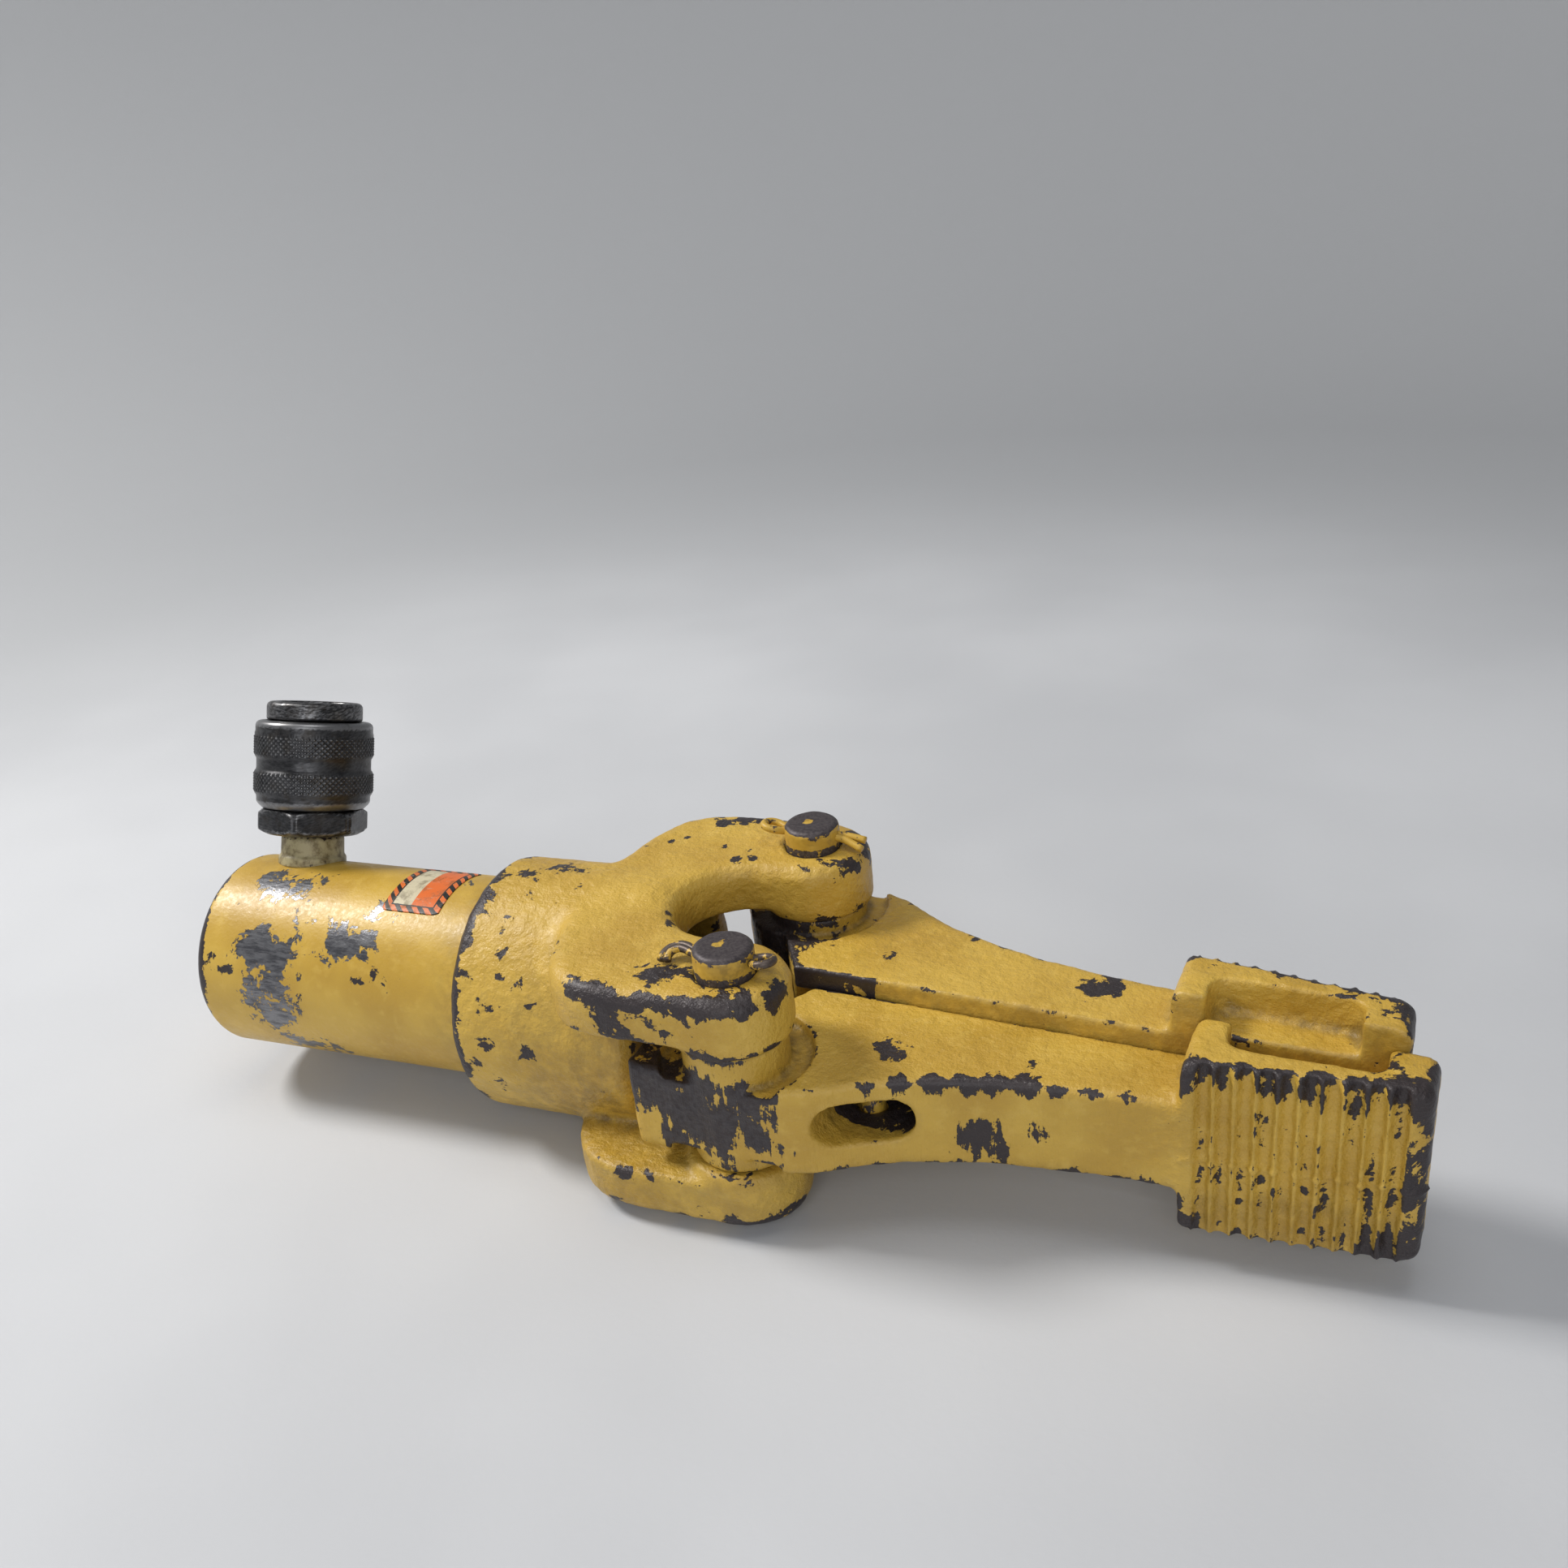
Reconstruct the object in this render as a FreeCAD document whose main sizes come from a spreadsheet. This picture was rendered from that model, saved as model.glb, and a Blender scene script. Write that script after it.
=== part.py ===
import FreeCAD, Part
import math
import os
import Sketcher
from FreeCAD import Placement, Rotation, Vector

# Hydraulic rescue spreader: a single-acting ram screwed into a cast fork head
# that carries two spring-closed jaws.  Origin: centre of the ram's rear face.
# +X runs along the ram to the jaw tips, +Z is parallel to the jaw pins.

SIZES = {
    # ram
    "barrel_radius": 28.575, "barrel_length": 118.0, "bore_radius": 21.45,
    "base_thickness": 15.5, "gland_start": 102.0, "gland_radius": 23.4,
    "base_hole_spacing": 39.6, "base_hole_radius": 3.97, "base_hole_depth": 12.7,
    "rod_radius": 12.6, "rod_back": 17.0, "rod_front": 117.4, "piston_front": 50.0,
    "spring_bore": 9.9, "wiper_depth": 2.5,
    # push block on the front of the plunger
    "block_back": 128.0, "block_front": 160.0, "block_nose": 12.6, "block_half_height": 10.0,
    "block_slot_depth": 15.0, "block_slot_half_height": 5.0,
    # fork head
    "collar_radius": 35.35, "collar_back": 90.7, "web_end": 145.0,
    "fork_half_height": 34.1, "slot_half_height": 17.4, "root_slot_half_height": 20.2,
    "ear_radius": 15.7,
    "fork_edge": 4.5, "notch_bottom": 147.8, "flare_start": 118.0,
    # jaw pivots
    "pivot_x": 174.3, "pivot_y": 32.3, "pin_radius": 7.6, "pin_top": 40.9,
    "pin_head_radius": 10.0, "pin_head_height": 2.6, "cotter_height": 37.5,
    "cotter_radius": 1.6,
    # jaws, in the casting's own frame with its pivot at the origin
    "jaw_half_thickness": 12.6, "jaw_offset": 2.5, "jaw_inner": 31.9,
    "jaw_root": 25.0, "jaw_length": 157.0, "tip_start": 105.0,
    "tip_half_height": 24.0, "tip_edge": 3.2, "jaw_bore": 7.66, "jaw_swing": 5.5,
    "relief_radius": 19.5, "relief_depth": 2.6, "boss_radius": 13.5,
    "boss_half_height": 17.0, "window_start": 23.2, "window_end": 45.4,
    "window_half_height": 5.9, "window_lift": 1.1, "post_x": 30.5, "post_y": 12.0, "post_radius": 3.2,
    "groove_pitch": 4.47, "groove_depth": 1.5, "groove_count": 10,
    "pocket_start": 113.0, "pocket_end": 146.8, "pocket_half_width": 9.3,
    "pocket_depth": 9.5, "spring_radius": 3.4, "spring_slot_half_height": 5.6,
    # hose coupler, along its own leaned axis from the ram's centre line
    "port_x": 18.6, "port_lean": 22.6, "nipple_radius": 9.2, "thread_radius": 8.5,
    "nipple_foot": 21.9, "hex_bottom": 36.5, "hex_top": 44.4, "hex_flats": 28.6,
    "sleeve_bottom": 44.5, "sleeve_top": 70.7, "sleeve_radius": 17.5,
    "core_radius": 13.9, "coupler_top": 76.4,
    # decal, angles measured from the near side up over the ram
    "decal_start": 59.0, "decal_length": 19.0, "decal_low_angle": 65.0, "decal_angle": 52.0,
}


class Size:
    """A length that carries its value and the expression that drives it."""

    def __init__(self, value, text):
        self.value = value
        self.text = text

    def join(self, other, sign, value):
        text = other.text if isinstance(other, Size) else repr(float(other))
        return Size(value, "(%s %s %s)" % (self.text, sign, text))

    def __add__(self, other):
        return self.join(other, "+", self.value + number(other))

    def __sub__(self, other):
        return self.join(other, "-", self.value - number(other))

    def __mul__(self, other):
        return self.join(other, "*", self.value * number(other))


def number(size):
    return size.value if isinstance(size, Size) else float(size)


doc = FreeCAD.newDocument("rescue_spreader")
sheet = doc.addObject("Spreadsheet::Sheet", "Dims")
for row, (alias, size) in enumerate(SIZES.items(), start=1):
    sheet.set("A%d" % row, alias)
    sheet.set("B%d" % row, str(size))
    sheet.setAlias("B%d" % row, alias)
doc.recompute()
nodes = {}


def dim(alias):
    return Size(float(sheet.get(alias)), "Dims." + alias)


def bind(thing, prop, size):
    if isinstance(size, Size):
        thing.setExpression(prop, size.text)
    else:
        setattr(thing, prop, size)


def keep(thing, label, placement=None):
    """Name a finished sub-part and put it in its place."""
    thing.Label = label
    if placement is not None:
        thing.Placement = placement
    nodes[label] = thing
    return thing


# ---------------------------------------------------------------- sketch helpers

def origin_plane(body, role):
    return next(f for f in body.Origin.OriginFeatures if f.Role == role)


def polygon(body, name, plane, corners):
    """A closed polygon whose every corner is bound to the sheet."""
    sketch = body.newObject("Sketcher::SketchObject", name)
    sketch.AttachmentSupport = (origin_plane(body, plane), [""])
    sketch.MapMode = "FlatFace"
    flat = [(number(u), number(v)) for u, v in corners]
    for (u1, v1), (u2, v2) in zip(flat, flat[1:] + flat[:1]):
        sketch.addGeometry(Part.LineSegment(Vector(u1, v1, 0), Vector(u2, v2, 0)), False)
    for i in range(len(flat)):
        sketch.addConstraint(Sketcher.Constraint("Coincident", i, 2, (i + 1) % len(flat), 1))
    for i, (u, v) in enumerate(corners):
        for kind, size in (("DistanceX", u), ("DistanceY", v)):
            at = sketch.addConstraint(Sketcher.Constraint(kind, -1, 1, i, 1, number(size)))
            if isinstance(size, Size):
                sketch.setExpression("Constraints[%d]" % at, size.text)
    return sketch


def turned(label, axis, corners, placement=None):
    """A Body revolved from (along, radius) corners about its own X or Z axis."""
    body = doc.addObject("PartDesign::Body", label + "_body")
    if axis == "X":
        sketch = polygon(body, label + "_profile", "XZ_Plane", corners)
    else:
        flipped = [(radius, along) for along, radius in corners]
        sketch = polygon(body, label + "_profile", "XZ_Plane", flipped)
    turn = body.newObject("PartDesign::Revolution", label + "_turned")
    turn.Profile = sketch
    turn.ReferenceAxis = (sketch, ["H_Axis" if axis == "X" else "V_Axis"])
    turn.Angle = 360.0
    doc.recompute()
    return keep(body, label, placement)


def tube(label, axis, start, end, inner, outer, placement=None):
    corners = [(start, inner), (end, inner), (end, outer), (start, outer)]
    return turned(label, axis, corners, placement)


def bore(body, name, radius, depth, placement, solid="Cylinder"):
    """Cut a round hole along its placement's own Z axis."""
    hole = body.newObject("PartDesign::Subtractive" + solid, name)
    hole.Placement = placement
    bind(hole, "Radius", radius)
    bind(hole, "Height", depth)
    doc.recompute()
    return hole


def outline(name, curves):
    """A free sketch in the XY plane from a closed chain of curves."""
    sketch = doc.addObject("Sketcher::SketchObject", name)
    for curve in curves:
        sketch.addGeometry(curve, False)
    return sketch


def line(a, b):
    return Part.LineSegment(Vector(a[0], a[1], 0), Vector(b[0], b[1], 0))


def arc(a, middle, b):
    return Part.Arc(Vector(a[0], a[1], 0), Vector(middle[0], middle[1], 0), Vector(b[0], b[1], 0))


def chain(points):
    return [line(a, b) for a, b in zip(points, points[1:])]


def slab(name, sketch, half_height, centre=0.0):
    """Extrude a sketch both ways along Z about the height `centre`."""
    solid = doc.addObject("Part::Extrusion", name)
    solid.Base = sketch
    solid.DirMode = "Custom"
    solid.Dir = Vector(0, 0, 1)
    solid.Solid = True
    bind(solid, "LengthFwd", half_height)
    bind(solid, "LengthRev", half_height)
    solid.Placement = Placement(Vector(0, 0, centre), Rotation())
    doc.recompute()
    return solid


def rounded(name, base, radius, wanted):
    """Round the edges of `base` that the test `wanted` picks."""
    solid = doc.addObject("Part::Fillet", name)
    solid.Base = base
    picked = [i for i, edge in enumerate(base.Shape.Edges, start=1) if wanted(edge)]
    solid.Edges = [(i, radius, radius) for i in picked]
    doc.recompute()
    return solid


def combine(kind, name, *parts):
    """Part::MultiFuse, Part::MultiCommon or Part::Cut of document objects."""
    solid = doc.addObject("Part::" + kind, name)
    if kind == "Cut":
        solid.Base, solid.Tool = parts
    else:
        solid.Shapes = list(parts)
    doc.recompute()
    return solid


def cylinder(name, radius, height, placement):
    solid = doc.addObject("Part::Cylinder", name)
    bind(solid, "Radius", radius)
    bind(solid, "Height", height)
    solid.Placement = placement
    return solid


def box(name, low, high):
    solid = doc.addObject("Part::Box", name)
    solid.Length, solid.Width, solid.Height = [number(b) - number(a) for a, b in zip(low, high)]
    solid.Placement = Placement(Vector(*[number(a) for a in low]), Rotation())
    return solid


along_x = Rotation(Vector(0, 1, 0), 90)
along_y = Rotation(Vector(1, 0, 0), -90)


def at(x, y, z, rotation=Rotation()):
    return Placement(Vector(number(x), number(y), number(z)), rotation)


# ---------------------------------------------------------------- ram

def make_ram():
    back = dim("rod_back")
    piston = dim("bore_radius") - 0.06
    barrel = dim("barrel_radius")
    length = dim("barrel_length")
    gland = dim("gland_start")
    rim = 1.2
    body = turned("cylinder_barrel", "X", [
        (0, 0), (0, barrel - rim), (rim, barrel), (length - rim, barrel),
        (length, barrel - rim), (length, dim("gland_radius") + 0.1),
        (gland, dim("gland_radius") + 0.1), (gland, dim("bore_radius")),
        (dim("base_thickness"), dim("bore_radius")), (dim("base_thickness"), 0)])
    for name, side in (("base_hole_left", 1), ("base_hole_right", -1)):
        y = side * number(dim("base_hole_spacing")) / 2
        bore(body, name, dim("base_hole_radius"), dim("base_hole_depth"), at(0, y, 0, along_x))
    lean = Rotation(Vector(1, 0, 0), -number(dim("port_lean")))
    foot = lean.multVec(Vector(0, 0, number(dim("nipple_foot")) - 3))
    bore(body, "port_hole", dim("thread_radius") + 0.05, 20,
         at(number(dim("port_x")) + foot.x, foot.y, foot.z, lean))

    seal_back, seal_front, seal_floor = back + 3, back + 13, 17.5
    wear_back, wear_front, wear_floor = back + 19, back + 27, 19.4
    hollow_end, shank_seat, shank_radius, anchor_hole = 95, 101, 8.95, 4.2
    turned("plunger", "X", [
        (back, dim("spring_bore")), (back, piston - 0.8), (back + 0.8, piston),
        (seal_back, piston), (seal_back, seal_floor), (seal_front, seal_floor),
        (seal_front, piston), (wear_back, piston), (wear_back, wear_floor),
        (wear_front, wear_floor), (wear_front, piston), (dim("piston_front"), piston),
        (dim("piston_front"), dim("rod_radius")), (dim("rod_front") - 1, dim("rod_radius")),
        (dim("rod_front"), dim("rod_radius") - 1), (dim("rod_front"), shank_radius + 0.05),
        (shank_seat, shank_radius + 0.05), (shank_seat, anchor_hole),
        (hollow_end, anchor_hole), (hollow_end, dim("spring_bore"))])
    tube("piston_seal", "X", back + 3.1, back + 9.9, 17.55, dim("bore_radius") - 0.04)
    tube("backup_ring", "X", back + 10.1, back + 12.9, 17.55, dim("bore_radius") - 0.05)
    tube("wear_ring", "X", back + 19.1, back + 26.9, 19.45, dim("bore_radius") - 0.03)

    rod = dim("rod_radius")
    groove_back, groove_front, groove_floor = gland + 9, gland + 14, rod + dim("wiper_depth")
    turned("gland_nut", "X", [
        (gland + 0.1, dim("rod_radius") + 0.07), (gland + 0.1, dim("gland_radius")),
        (length - 0.4, dim("gland_radius")), (length - 0.4, dim("rod_radius") + 0.07),
        (groove_front, dim("rod_radius") + 0.07), (groove_front, groove_floor),
        (groove_back, groove_floor), (groove_back, dim("rod_radius") + 0.07)])
    turned("rod_wiper", "X", [
        (gland + 9.1, rod + 1), (gland + 9.1, groove_floor - 0.05),
        (gland + 13.9, groove_floor - 0.05), (gland + 13.9, rod + 0.03),
        (gland + 12.6, rod + 0.03)])

    # a draw-back spring hangs in the hollow plunger between two anchors
    base = dim("base_thickness")
    turned("base_spring_anchor", "X", [
        (base + 0.05, 0), (base + 0.05, 6.5), (base + 4, 6.5), (base + 4, 2.5),
        (base + 10, 2.5), (base + 10, 0)])
    turned("plunger_spring_anchor", "X", [
        (84, 0), (84, 2.5), (90, 2.5), (90, 8), (hollow_end - 0.05, 8),
        (hollow_end - 0.05, anchor_hole - 0.1), (shank_seat, anchor_hole - 0.1), (shank_seat, 0)])
    tube("return_spring", "X", 27, 83, 6.5, 9.5)

    # push block: a shank in the plunger and a round-nosed block ahead of it
    front, nose = dim("block_front"), dim("block_nose")
    centre = number(front) - number(nose)
    shoulder = number(dim("block_back"))
    half = number(nose)
    sketch = outline("block_outline", chain([
        (centre, half), (shoulder, half), (shoulder, -half), (centre, -half)])
        + [arc((centre, -half), (centre + half, 0), (centre, half))])
    block = slab("block_solid", sketch, dim("block_half_height"))
    shank_back = shank_seat + 0.1
    shank = cylinder("block_shank", shank_radius, shoulder + 0.1 - shank_back,
                     at(shank_back, 0, 0, along_x))
    # the nose is forked, so that it passes above and below the jaw spring
    slot = dim("block_slot_half_height")
    gap = box("block_gap", (front - dim("block_slot_depth"), -half - 1, slot * -1),
              (front + 1, half + 1, slot))
    solid = combine("MultiFuse", "block_fuse", block, shank)
    keep(combine("Cut", "block_cut", solid, gap), "push_block")


# ---------------------------------------------------------------- fork head

def fork_outline():
    """Half of the fork's plan, mirrored about the ram's centre line."""
    px, py = number(dim("pivot_x")), number(dim("pivot_y"))
    ear = number(dim("ear_radius"))
    inner, outer = py - ear, py + ear
    start, notch = number(dim("flare_start")) - 7, number(dim("notch_bottom"))
    neck, neck_x, arm_x = 12.0, 120.0, 149.5
    curves = []
    for side in (1, -1):
        curves += [
            line((start, 0), (start, side * neck)),
            line((start, side * neck), (neck_x, side * neck)),
            Part.BSplineCurve(),
            line((arm_x, side * outer), (px, side * outer)),
            arc((px, side * outer), (px + ear, side * py), (px, side * inner)),
            line((px, side * inner), (notch + inner, side * inner)),
            arc((notch + inner, side * inner),
                (notch + inner * (1 - math.sqrt(0.5)), side * inner * math.sqrt(0.5)), (notch, 0)),
        ]
        sweep = [(neck_x, neck), (124.4, 29), (127.8, 37.5), (133.1, 43.8), (140.6, 47.2),
                 (arm_x, outer)]
        curves[-5].interpolate([Vector(x, side * y, 0) for x, y in sweep])
    return curves


def make_head():
    half, slot = dim("fork_half_height"), dim("slot_half_height")
    root_slot = dim("root_slot_half_height")
    collar = dim("collar_radius")
    block = slab("fork_block", outline("fork_plan", fork_outline()), half)
    top = number(half)
    soft = rounded("fork_soft", block, number(dim("fork_edge")),
                   lambda edge: edge.BoundBox.ZLength < 0.01
                   and abs(abs(edge.BoundBox.ZMax) - top) < 0.01
                   and edge.BoundBox.XMin > number(dim("flare_start")))
    gap = box("fork_gap", (90, -60, root_slot * -1), (230, 60, root_slot))
    bare_arms = combine("Cut", "fork_bare_arms", soft, gap)
    # round pads under the ears narrow the slot to the jaws' bosses
    pads = []
    for name, y in (("near", dim("pivot_y") * -1), ("far", dim("pivot_y"))):
        for level, z in (("upper", slot), ("lower", root_slot * -1 - 3)):
            pads.append(cylinder("ear_pad_%s_%s" % (name, level), dim("ear_radius"),
                                 root_slot - slot + 3, at(dim("pivot_x"), y, z)))
    arms = combine("MultiFuse", "fork_arms", bare_arms, *pads)

    # the collar swells into the two arms along a cone
    start, radius = number(dim("flare_start")), number(collar)
    swell = Part.BSplineCurve()
    swell.interpolate([Vector(start + x, radius + r, 0) for x, r in
                       [(0, 0), (2.5, 1.2), (5, 6), (8, 14), (13, 20.5), (24, 26)]])
    flare_profile = outline("flare_profile", [swell] + chain([
        (start + 24, radius + 26), (start + 90, radius + 26), (start + 90, 0),
        (start - 20, 0), (start - 20, radius), (start, radius)]))
    flare = doc.addObject("Part::Revolution", "flare")
    flare.Source = flare_profile
    flare.Axis = Vector(1, 0, 0)
    flare.Angle = 360
    flare.Solid = True
    doc.recompute()
    arms = combine("MultiCommon", "fork_flared", arms, flare)

    rim = 2.4
    web = doc.addObject("Part::Revolution", "web")
    web.Source = outline("web_profile", chain([
        (number(dim("collar_back")), 0), (number(dim("collar_back")), radius - rim),
        (number(dim("collar_back")) + rim, radius), (number(dim("web_end")) - 3, radius),
        (number(dim("web_end")), radius - 3), (number(dim("web_end")), 0),
        (number(dim("collar_back")), 0)]))
    web.Axis = Vector(1, 0, 0)
    web.Angle = 360
    web.Solid = True
    doc.recompute()
    solid = combine("MultiFuse", "head_fuse", arms, web)

    back = number(dim("collar_back")) - 1
    seat = cylinder("barrel_seat", dim("barrel_radius") + 0.05,
                    number(dim("barrel_length")) + 0.1 - back, at(back, 0, 0, along_x))
    throat = cylinder("rod_throat", dim("rod_radius") + 1, 12, at(118, 0, 0, along_x))
    cavity = box("block_cavity", (127, -25, root_slot * -1),
                 (number(dim("web_end")) + 1, 25, root_slot))
    cuts = [seat, throat, cavity]
    for name, side in (("near", -1), ("far", 1)):
        cuts.append(cylinder("ear_hole_" + name, dim("pin_radius") + 0.04, 90,
                             at(dim("pivot_x"), side * number(dim("pivot_y")), -45)))
    tools = combine("MultiFuse", "head_tools", *cuts)
    keep(combine("Cut", "head_cut", solid, tools), "spreader_head")


# ---------------------------------------------------------------- jaws

def jaw_face(x):
    """Height of the tip's outer face above the pivot line at distance x."""
    return 12.6 + (x - 105.0) * 0.11


def arm_outline():
    """Plan of the arm: ground root, hollowed outer side, flat inner side, cam flank."""
    inner, root = number(dim("jaw_inner")), number(dim("jaw_root"))
    end = number(dim("jaw_length")) - 12
    side = [(13.0, -12.4), (24.0, -9.2), (33.0, -3.8), (45.0, 1.9), (62.0, 7.3), (76.0, 9.9),
            (89.0, 11.7), (105.0, jaw_face(105.0) + 0.3)]
    spline = Part.BSplineCurve()
    spline.interpolate([Vector(x, y, 0) for x, y in side])
    nose, hollow, heel = (7.0, inner), (-4.2, 14.3), (-20.2, 3.4)
    corner = [side[-1], (end, jaw_face(end) + 3), (end, inner), nose, hollow]
    return [spline] + chain(corner) + [
        arc(hollow, (-15.2, 10.6), heel)] + chain([
            heel, (-root, -3.4), (-root, -11.6), (-root + 1.6, -13.2), side[0]])


def tip_outline(grooved):
    """Plan of the tip block, with or without its row of gripping grooves."""
    inner, end = number(dim("jaw_inner")), number(dim("jaw_length"))
    start = number(dim("tip_start"))
    pitch, depth = number(dim("groove_pitch")), number(dim("groove_depth"))
    curves = []
    x = start
    if grooved:
        first = start + 2.9
        curves.append(line((start, jaw_face(start)), (first, jaw_face(first))))
        for i in range(int(number(dim("groove_count")))):
            x = first + i * pitch
            crest = 0.16 * pitch
            curves.append(arc((x, jaw_face(x)), (x + 0.42 * pitch, jaw_face(x) + depth),
                              (x + pitch - crest, jaw_face(x + pitch - crest))))
            curves.append(line((x + pitch - crest, jaw_face(x + pitch - crest)),
                               (x + pitch, jaw_face(x + pitch))))
        x = x + pitch
    corner = 3.5
    curves += chain([(x, jaw_face(x)), (end - corner, jaw_face(end - corner))])
    curves.append(arc((end - corner, jaw_face(end - corner)),
                      (end - 0.3 * corner, jaw_face(end) + 0.3 * corner),
                      (end, jaw_face(end) + corner)))
    curves += chain([(end, jaw_face(end) + corner), (end, inner), (start, inner),
                     (start, jaw_face(start))])
    return curves


def make_jaw(side):
    """One jaw casting; the far one is the same casting rolled half a turn."""
    name = "jaw_" + side
    offset = -number(dim("jaw_offset"))
    thick, inner = number(dim("jaw_half_thickness")), number(dim("jaw_inner"))
    arm = slab(name + "_arm", outline(name + "_arm_plan", arm_outline()),
               dim("jaw_half_thickness"), offset)
    soft_arm = rounded(name + "_soft_arm", arm, 2.0,
                       lambda edge: edge.BoundBox.ZLength < 0.01
                       and edge.BoundBox.YMin < -10 and edge.BoundBox.XMax > 0)
    relief_low = cylinder(name + "_relief_low", dim("relief_radius"), 20,
                          at(0, 0, offset - thick + number(dim("relief_depth")) - 20))
    relief_high = cylinder(name + "_relief_high", dim("relief_radius"), 20,
                           at(0, 0, offset + thick - number(dim("relief_depth"))))
    reliefs = combine("MultiFuse", name + "_reliefs", relief_low, relief_high)
    arm = combine("Cut", name + "_relieved", soft_arm, reliefs)
    boss = cylinder(name + "_boss", dim("boss_radius"), dim("boss_half_height") * 2,
                    at(0, 0, dim("boss_half_height") * -1))

    grooved = slab(name + "_tip_grooved", outline(name + "_grooved_plan", tip_outline(True)),
                   dim("tip_half_height"), offset)
    plain = slab(name + "_tip_plain", outline(name + "_plain_plan", tip_outline(False)),
                 dim("tip_half_height"), offset)
    plain = rounded(name + "_tip_soft", plain, number(dim("tip_edge")),
                    lambda edge: edge.BoundBox.ZLength < 0.01
                    and edge.BoundBox.YMin < inner - 0.1)
    tip = combine("MultiCommon", name + "_tip", grooved, plain)
    solid = combine("MultiFuse", name + "_fuse", arm, boss, tip)

    cuts = [cylinder(name + "_bore", dim("jaw_bore"), 40, at(0, 0, -20))]
    start, end = number(dim("window_start")), number(dim("window_end"))
    half = number(dim("window_half_height"))
    sill = offset + number(dim("window_lift"))
    for where, x in (("back", start + half), ("front", end - half)):
        cuts.append(cylinder(name + "_window_" + where, half, 60, at(x, -25, sill, along_y)))
    cuts.append(box(name + "_window_middle", (start + half, -25, sill - half),
                    (end - half, 35, sill + half)))
    cuts.append(cylinder(name + "_post_hole", dim("post_radius") + 0.02, 23,
                         at(dim("post_x"), dim("post_y"), offset - 11.5)))
    # the spring swings through this slot as the jaw opens, out past the nose
    fan = [(27.9, 8.7), (-0.6, 30.6), (8.0, inner + 6), (37.0, inner + 6), (37.0, 12.0)]
    cuts.append(slab(name + "_spring_slot", outline(name + "_spring_fan", chain(fan + fan[:1])),
                     dim("spring_slot_half_height"), offset))
    low, high = number(dim("pocket_start")), number(dim("pocket_end"))
    width, depth = number(dim("pocket_half_width")), number(dim("pocket_depth"))
    tip_half = number(dim("tip_half_height"))
    for where, level in (("high", offset + tip_half - depth), ("low", offset - tip_half - 10)):
        recess = box(name + "_pocket_" + where, (low, inner - width, level),
                     (high, inner + 5, level + depth + 10))
        cuts.append(rounded(name + "_pocket_soft_" + where, recess, 4.0,
                            lambda edge: edge.BoundBox.ZLength > 5
                            and edge.BoundBox.YMax < inner))
    tools = combine("MultiFuse", name + "_tools", *cuts)
    turn = Rotation(Vector(0, 0, 1), -number(dim("jaw_swing")))
    y = -number(dim("pivot_y"))
    if side == "far":
        turn = turn.multiply(Rotation(Vector(1, 0, 0), 180))
        y = -y
    place = at(dim("pivot_x"), y, 0, turn)
    keep(combine("Cut", name + "_cut", solid, tools), name, place)
    post = cylinder("spring_post_%s_rod" % side, dim("post_radius"), 22,
                    place.multiply(at(dim("post_x"), dim("post_y"), offset - 11)))
    keep(post, "spring_post_" + side)


def make_pins():
    under, top = dim("fork_half_height") * -1, dim("pin_top")
    radius, head = dim("pin_radius"), dim("pin_head_radius")
    foot = under - dim("pin_head_height")
    for side, sign in (("near", -1), ("far", 1)):
        place = at(dim("pivot_x"), sign * number(dim("pivot_y")), 0)
        body = turned("pivot_pin_" + side, "Z", [
            (foot, 0), (foot, head - 1), (foot + 1, head), (under - 0.05, head),
            (under - 0.05, radius), (top - 0.9, radius), (top, radius - 0.9), (top, 0)], place)
        bore(body, "cotter_hole_" + side, dim("cotter_radius") + 0.1, 30,
             at(-15, 0, dim("cotter_height"), along_x))
    # the near split pin's eye faces the tips, the far one's faces the ram
    for side, sign in (("near", 1), ("far", -1)):
        y = -sign * number(dim("pivot_y"))
        height = number(dim("cotter_height"))
        x = number(dim("pivot_x"))
        reach, eye_side = 13.5, 8.6
        low = x - reach if sign > 0 else x - eye_side
        shank = cylinder("cotter_shank_" + side, dim("cotter_radius"), reach + eye_side,
                         at(low, y, height, along_x))
        bend = Rotation(Vector(0, 1, 0), -104) if sign > 0 else along_x
        leg = cylinder("cotter_leg_" + side, number(dim("cotter_radius")) - 0.1, 6,
                       at(x - sign * (reach - 0.8), y, height, bend))
        eye = doc.addObject("Part::Torus", "cotter_eye_" + side)
        eye.Radius1 = 2.5
        eye.Radius2 = 1.1
        eye.Placement = at(x + sign * 11.6, y, height, Rotation(Vector(1, 0, 0), 20 * sign))
        keep(combine("MultiFuse", "cotter_fuse_" + side, shank, leg, eye), "cotter_pin_" + side)


def make_jaw_spring():
    """The draw-together spring's envelope, from post to post."""
    ends = [nodes["spring_post_" + side].Shape.CenterOfMass for side in ("near", "far")]
    direction = ends[1] - ends[0]
    turn = Rotation(Vector(0, 0, 1), direction)
    gap = number(dim("post_radius")) + 1.2
    start = ends[0] + direction.normalize() * gap
    length = (ends[1] - ends[0]).Length - 2 * gap
    shell = cylinder("jaw_spring_outer", dim("spring_radius"), length, Placement(start, turn))
    core = cylinder("jaw_spring_inner", dim("spring_radius") - 1.6, length, Placement(start, turn))
    keep(combine("Cut", "jaw_spring_cut", shell, core), "jaw_return_spring")


# ---------------------------------------------------------------- hose coupler

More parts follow.
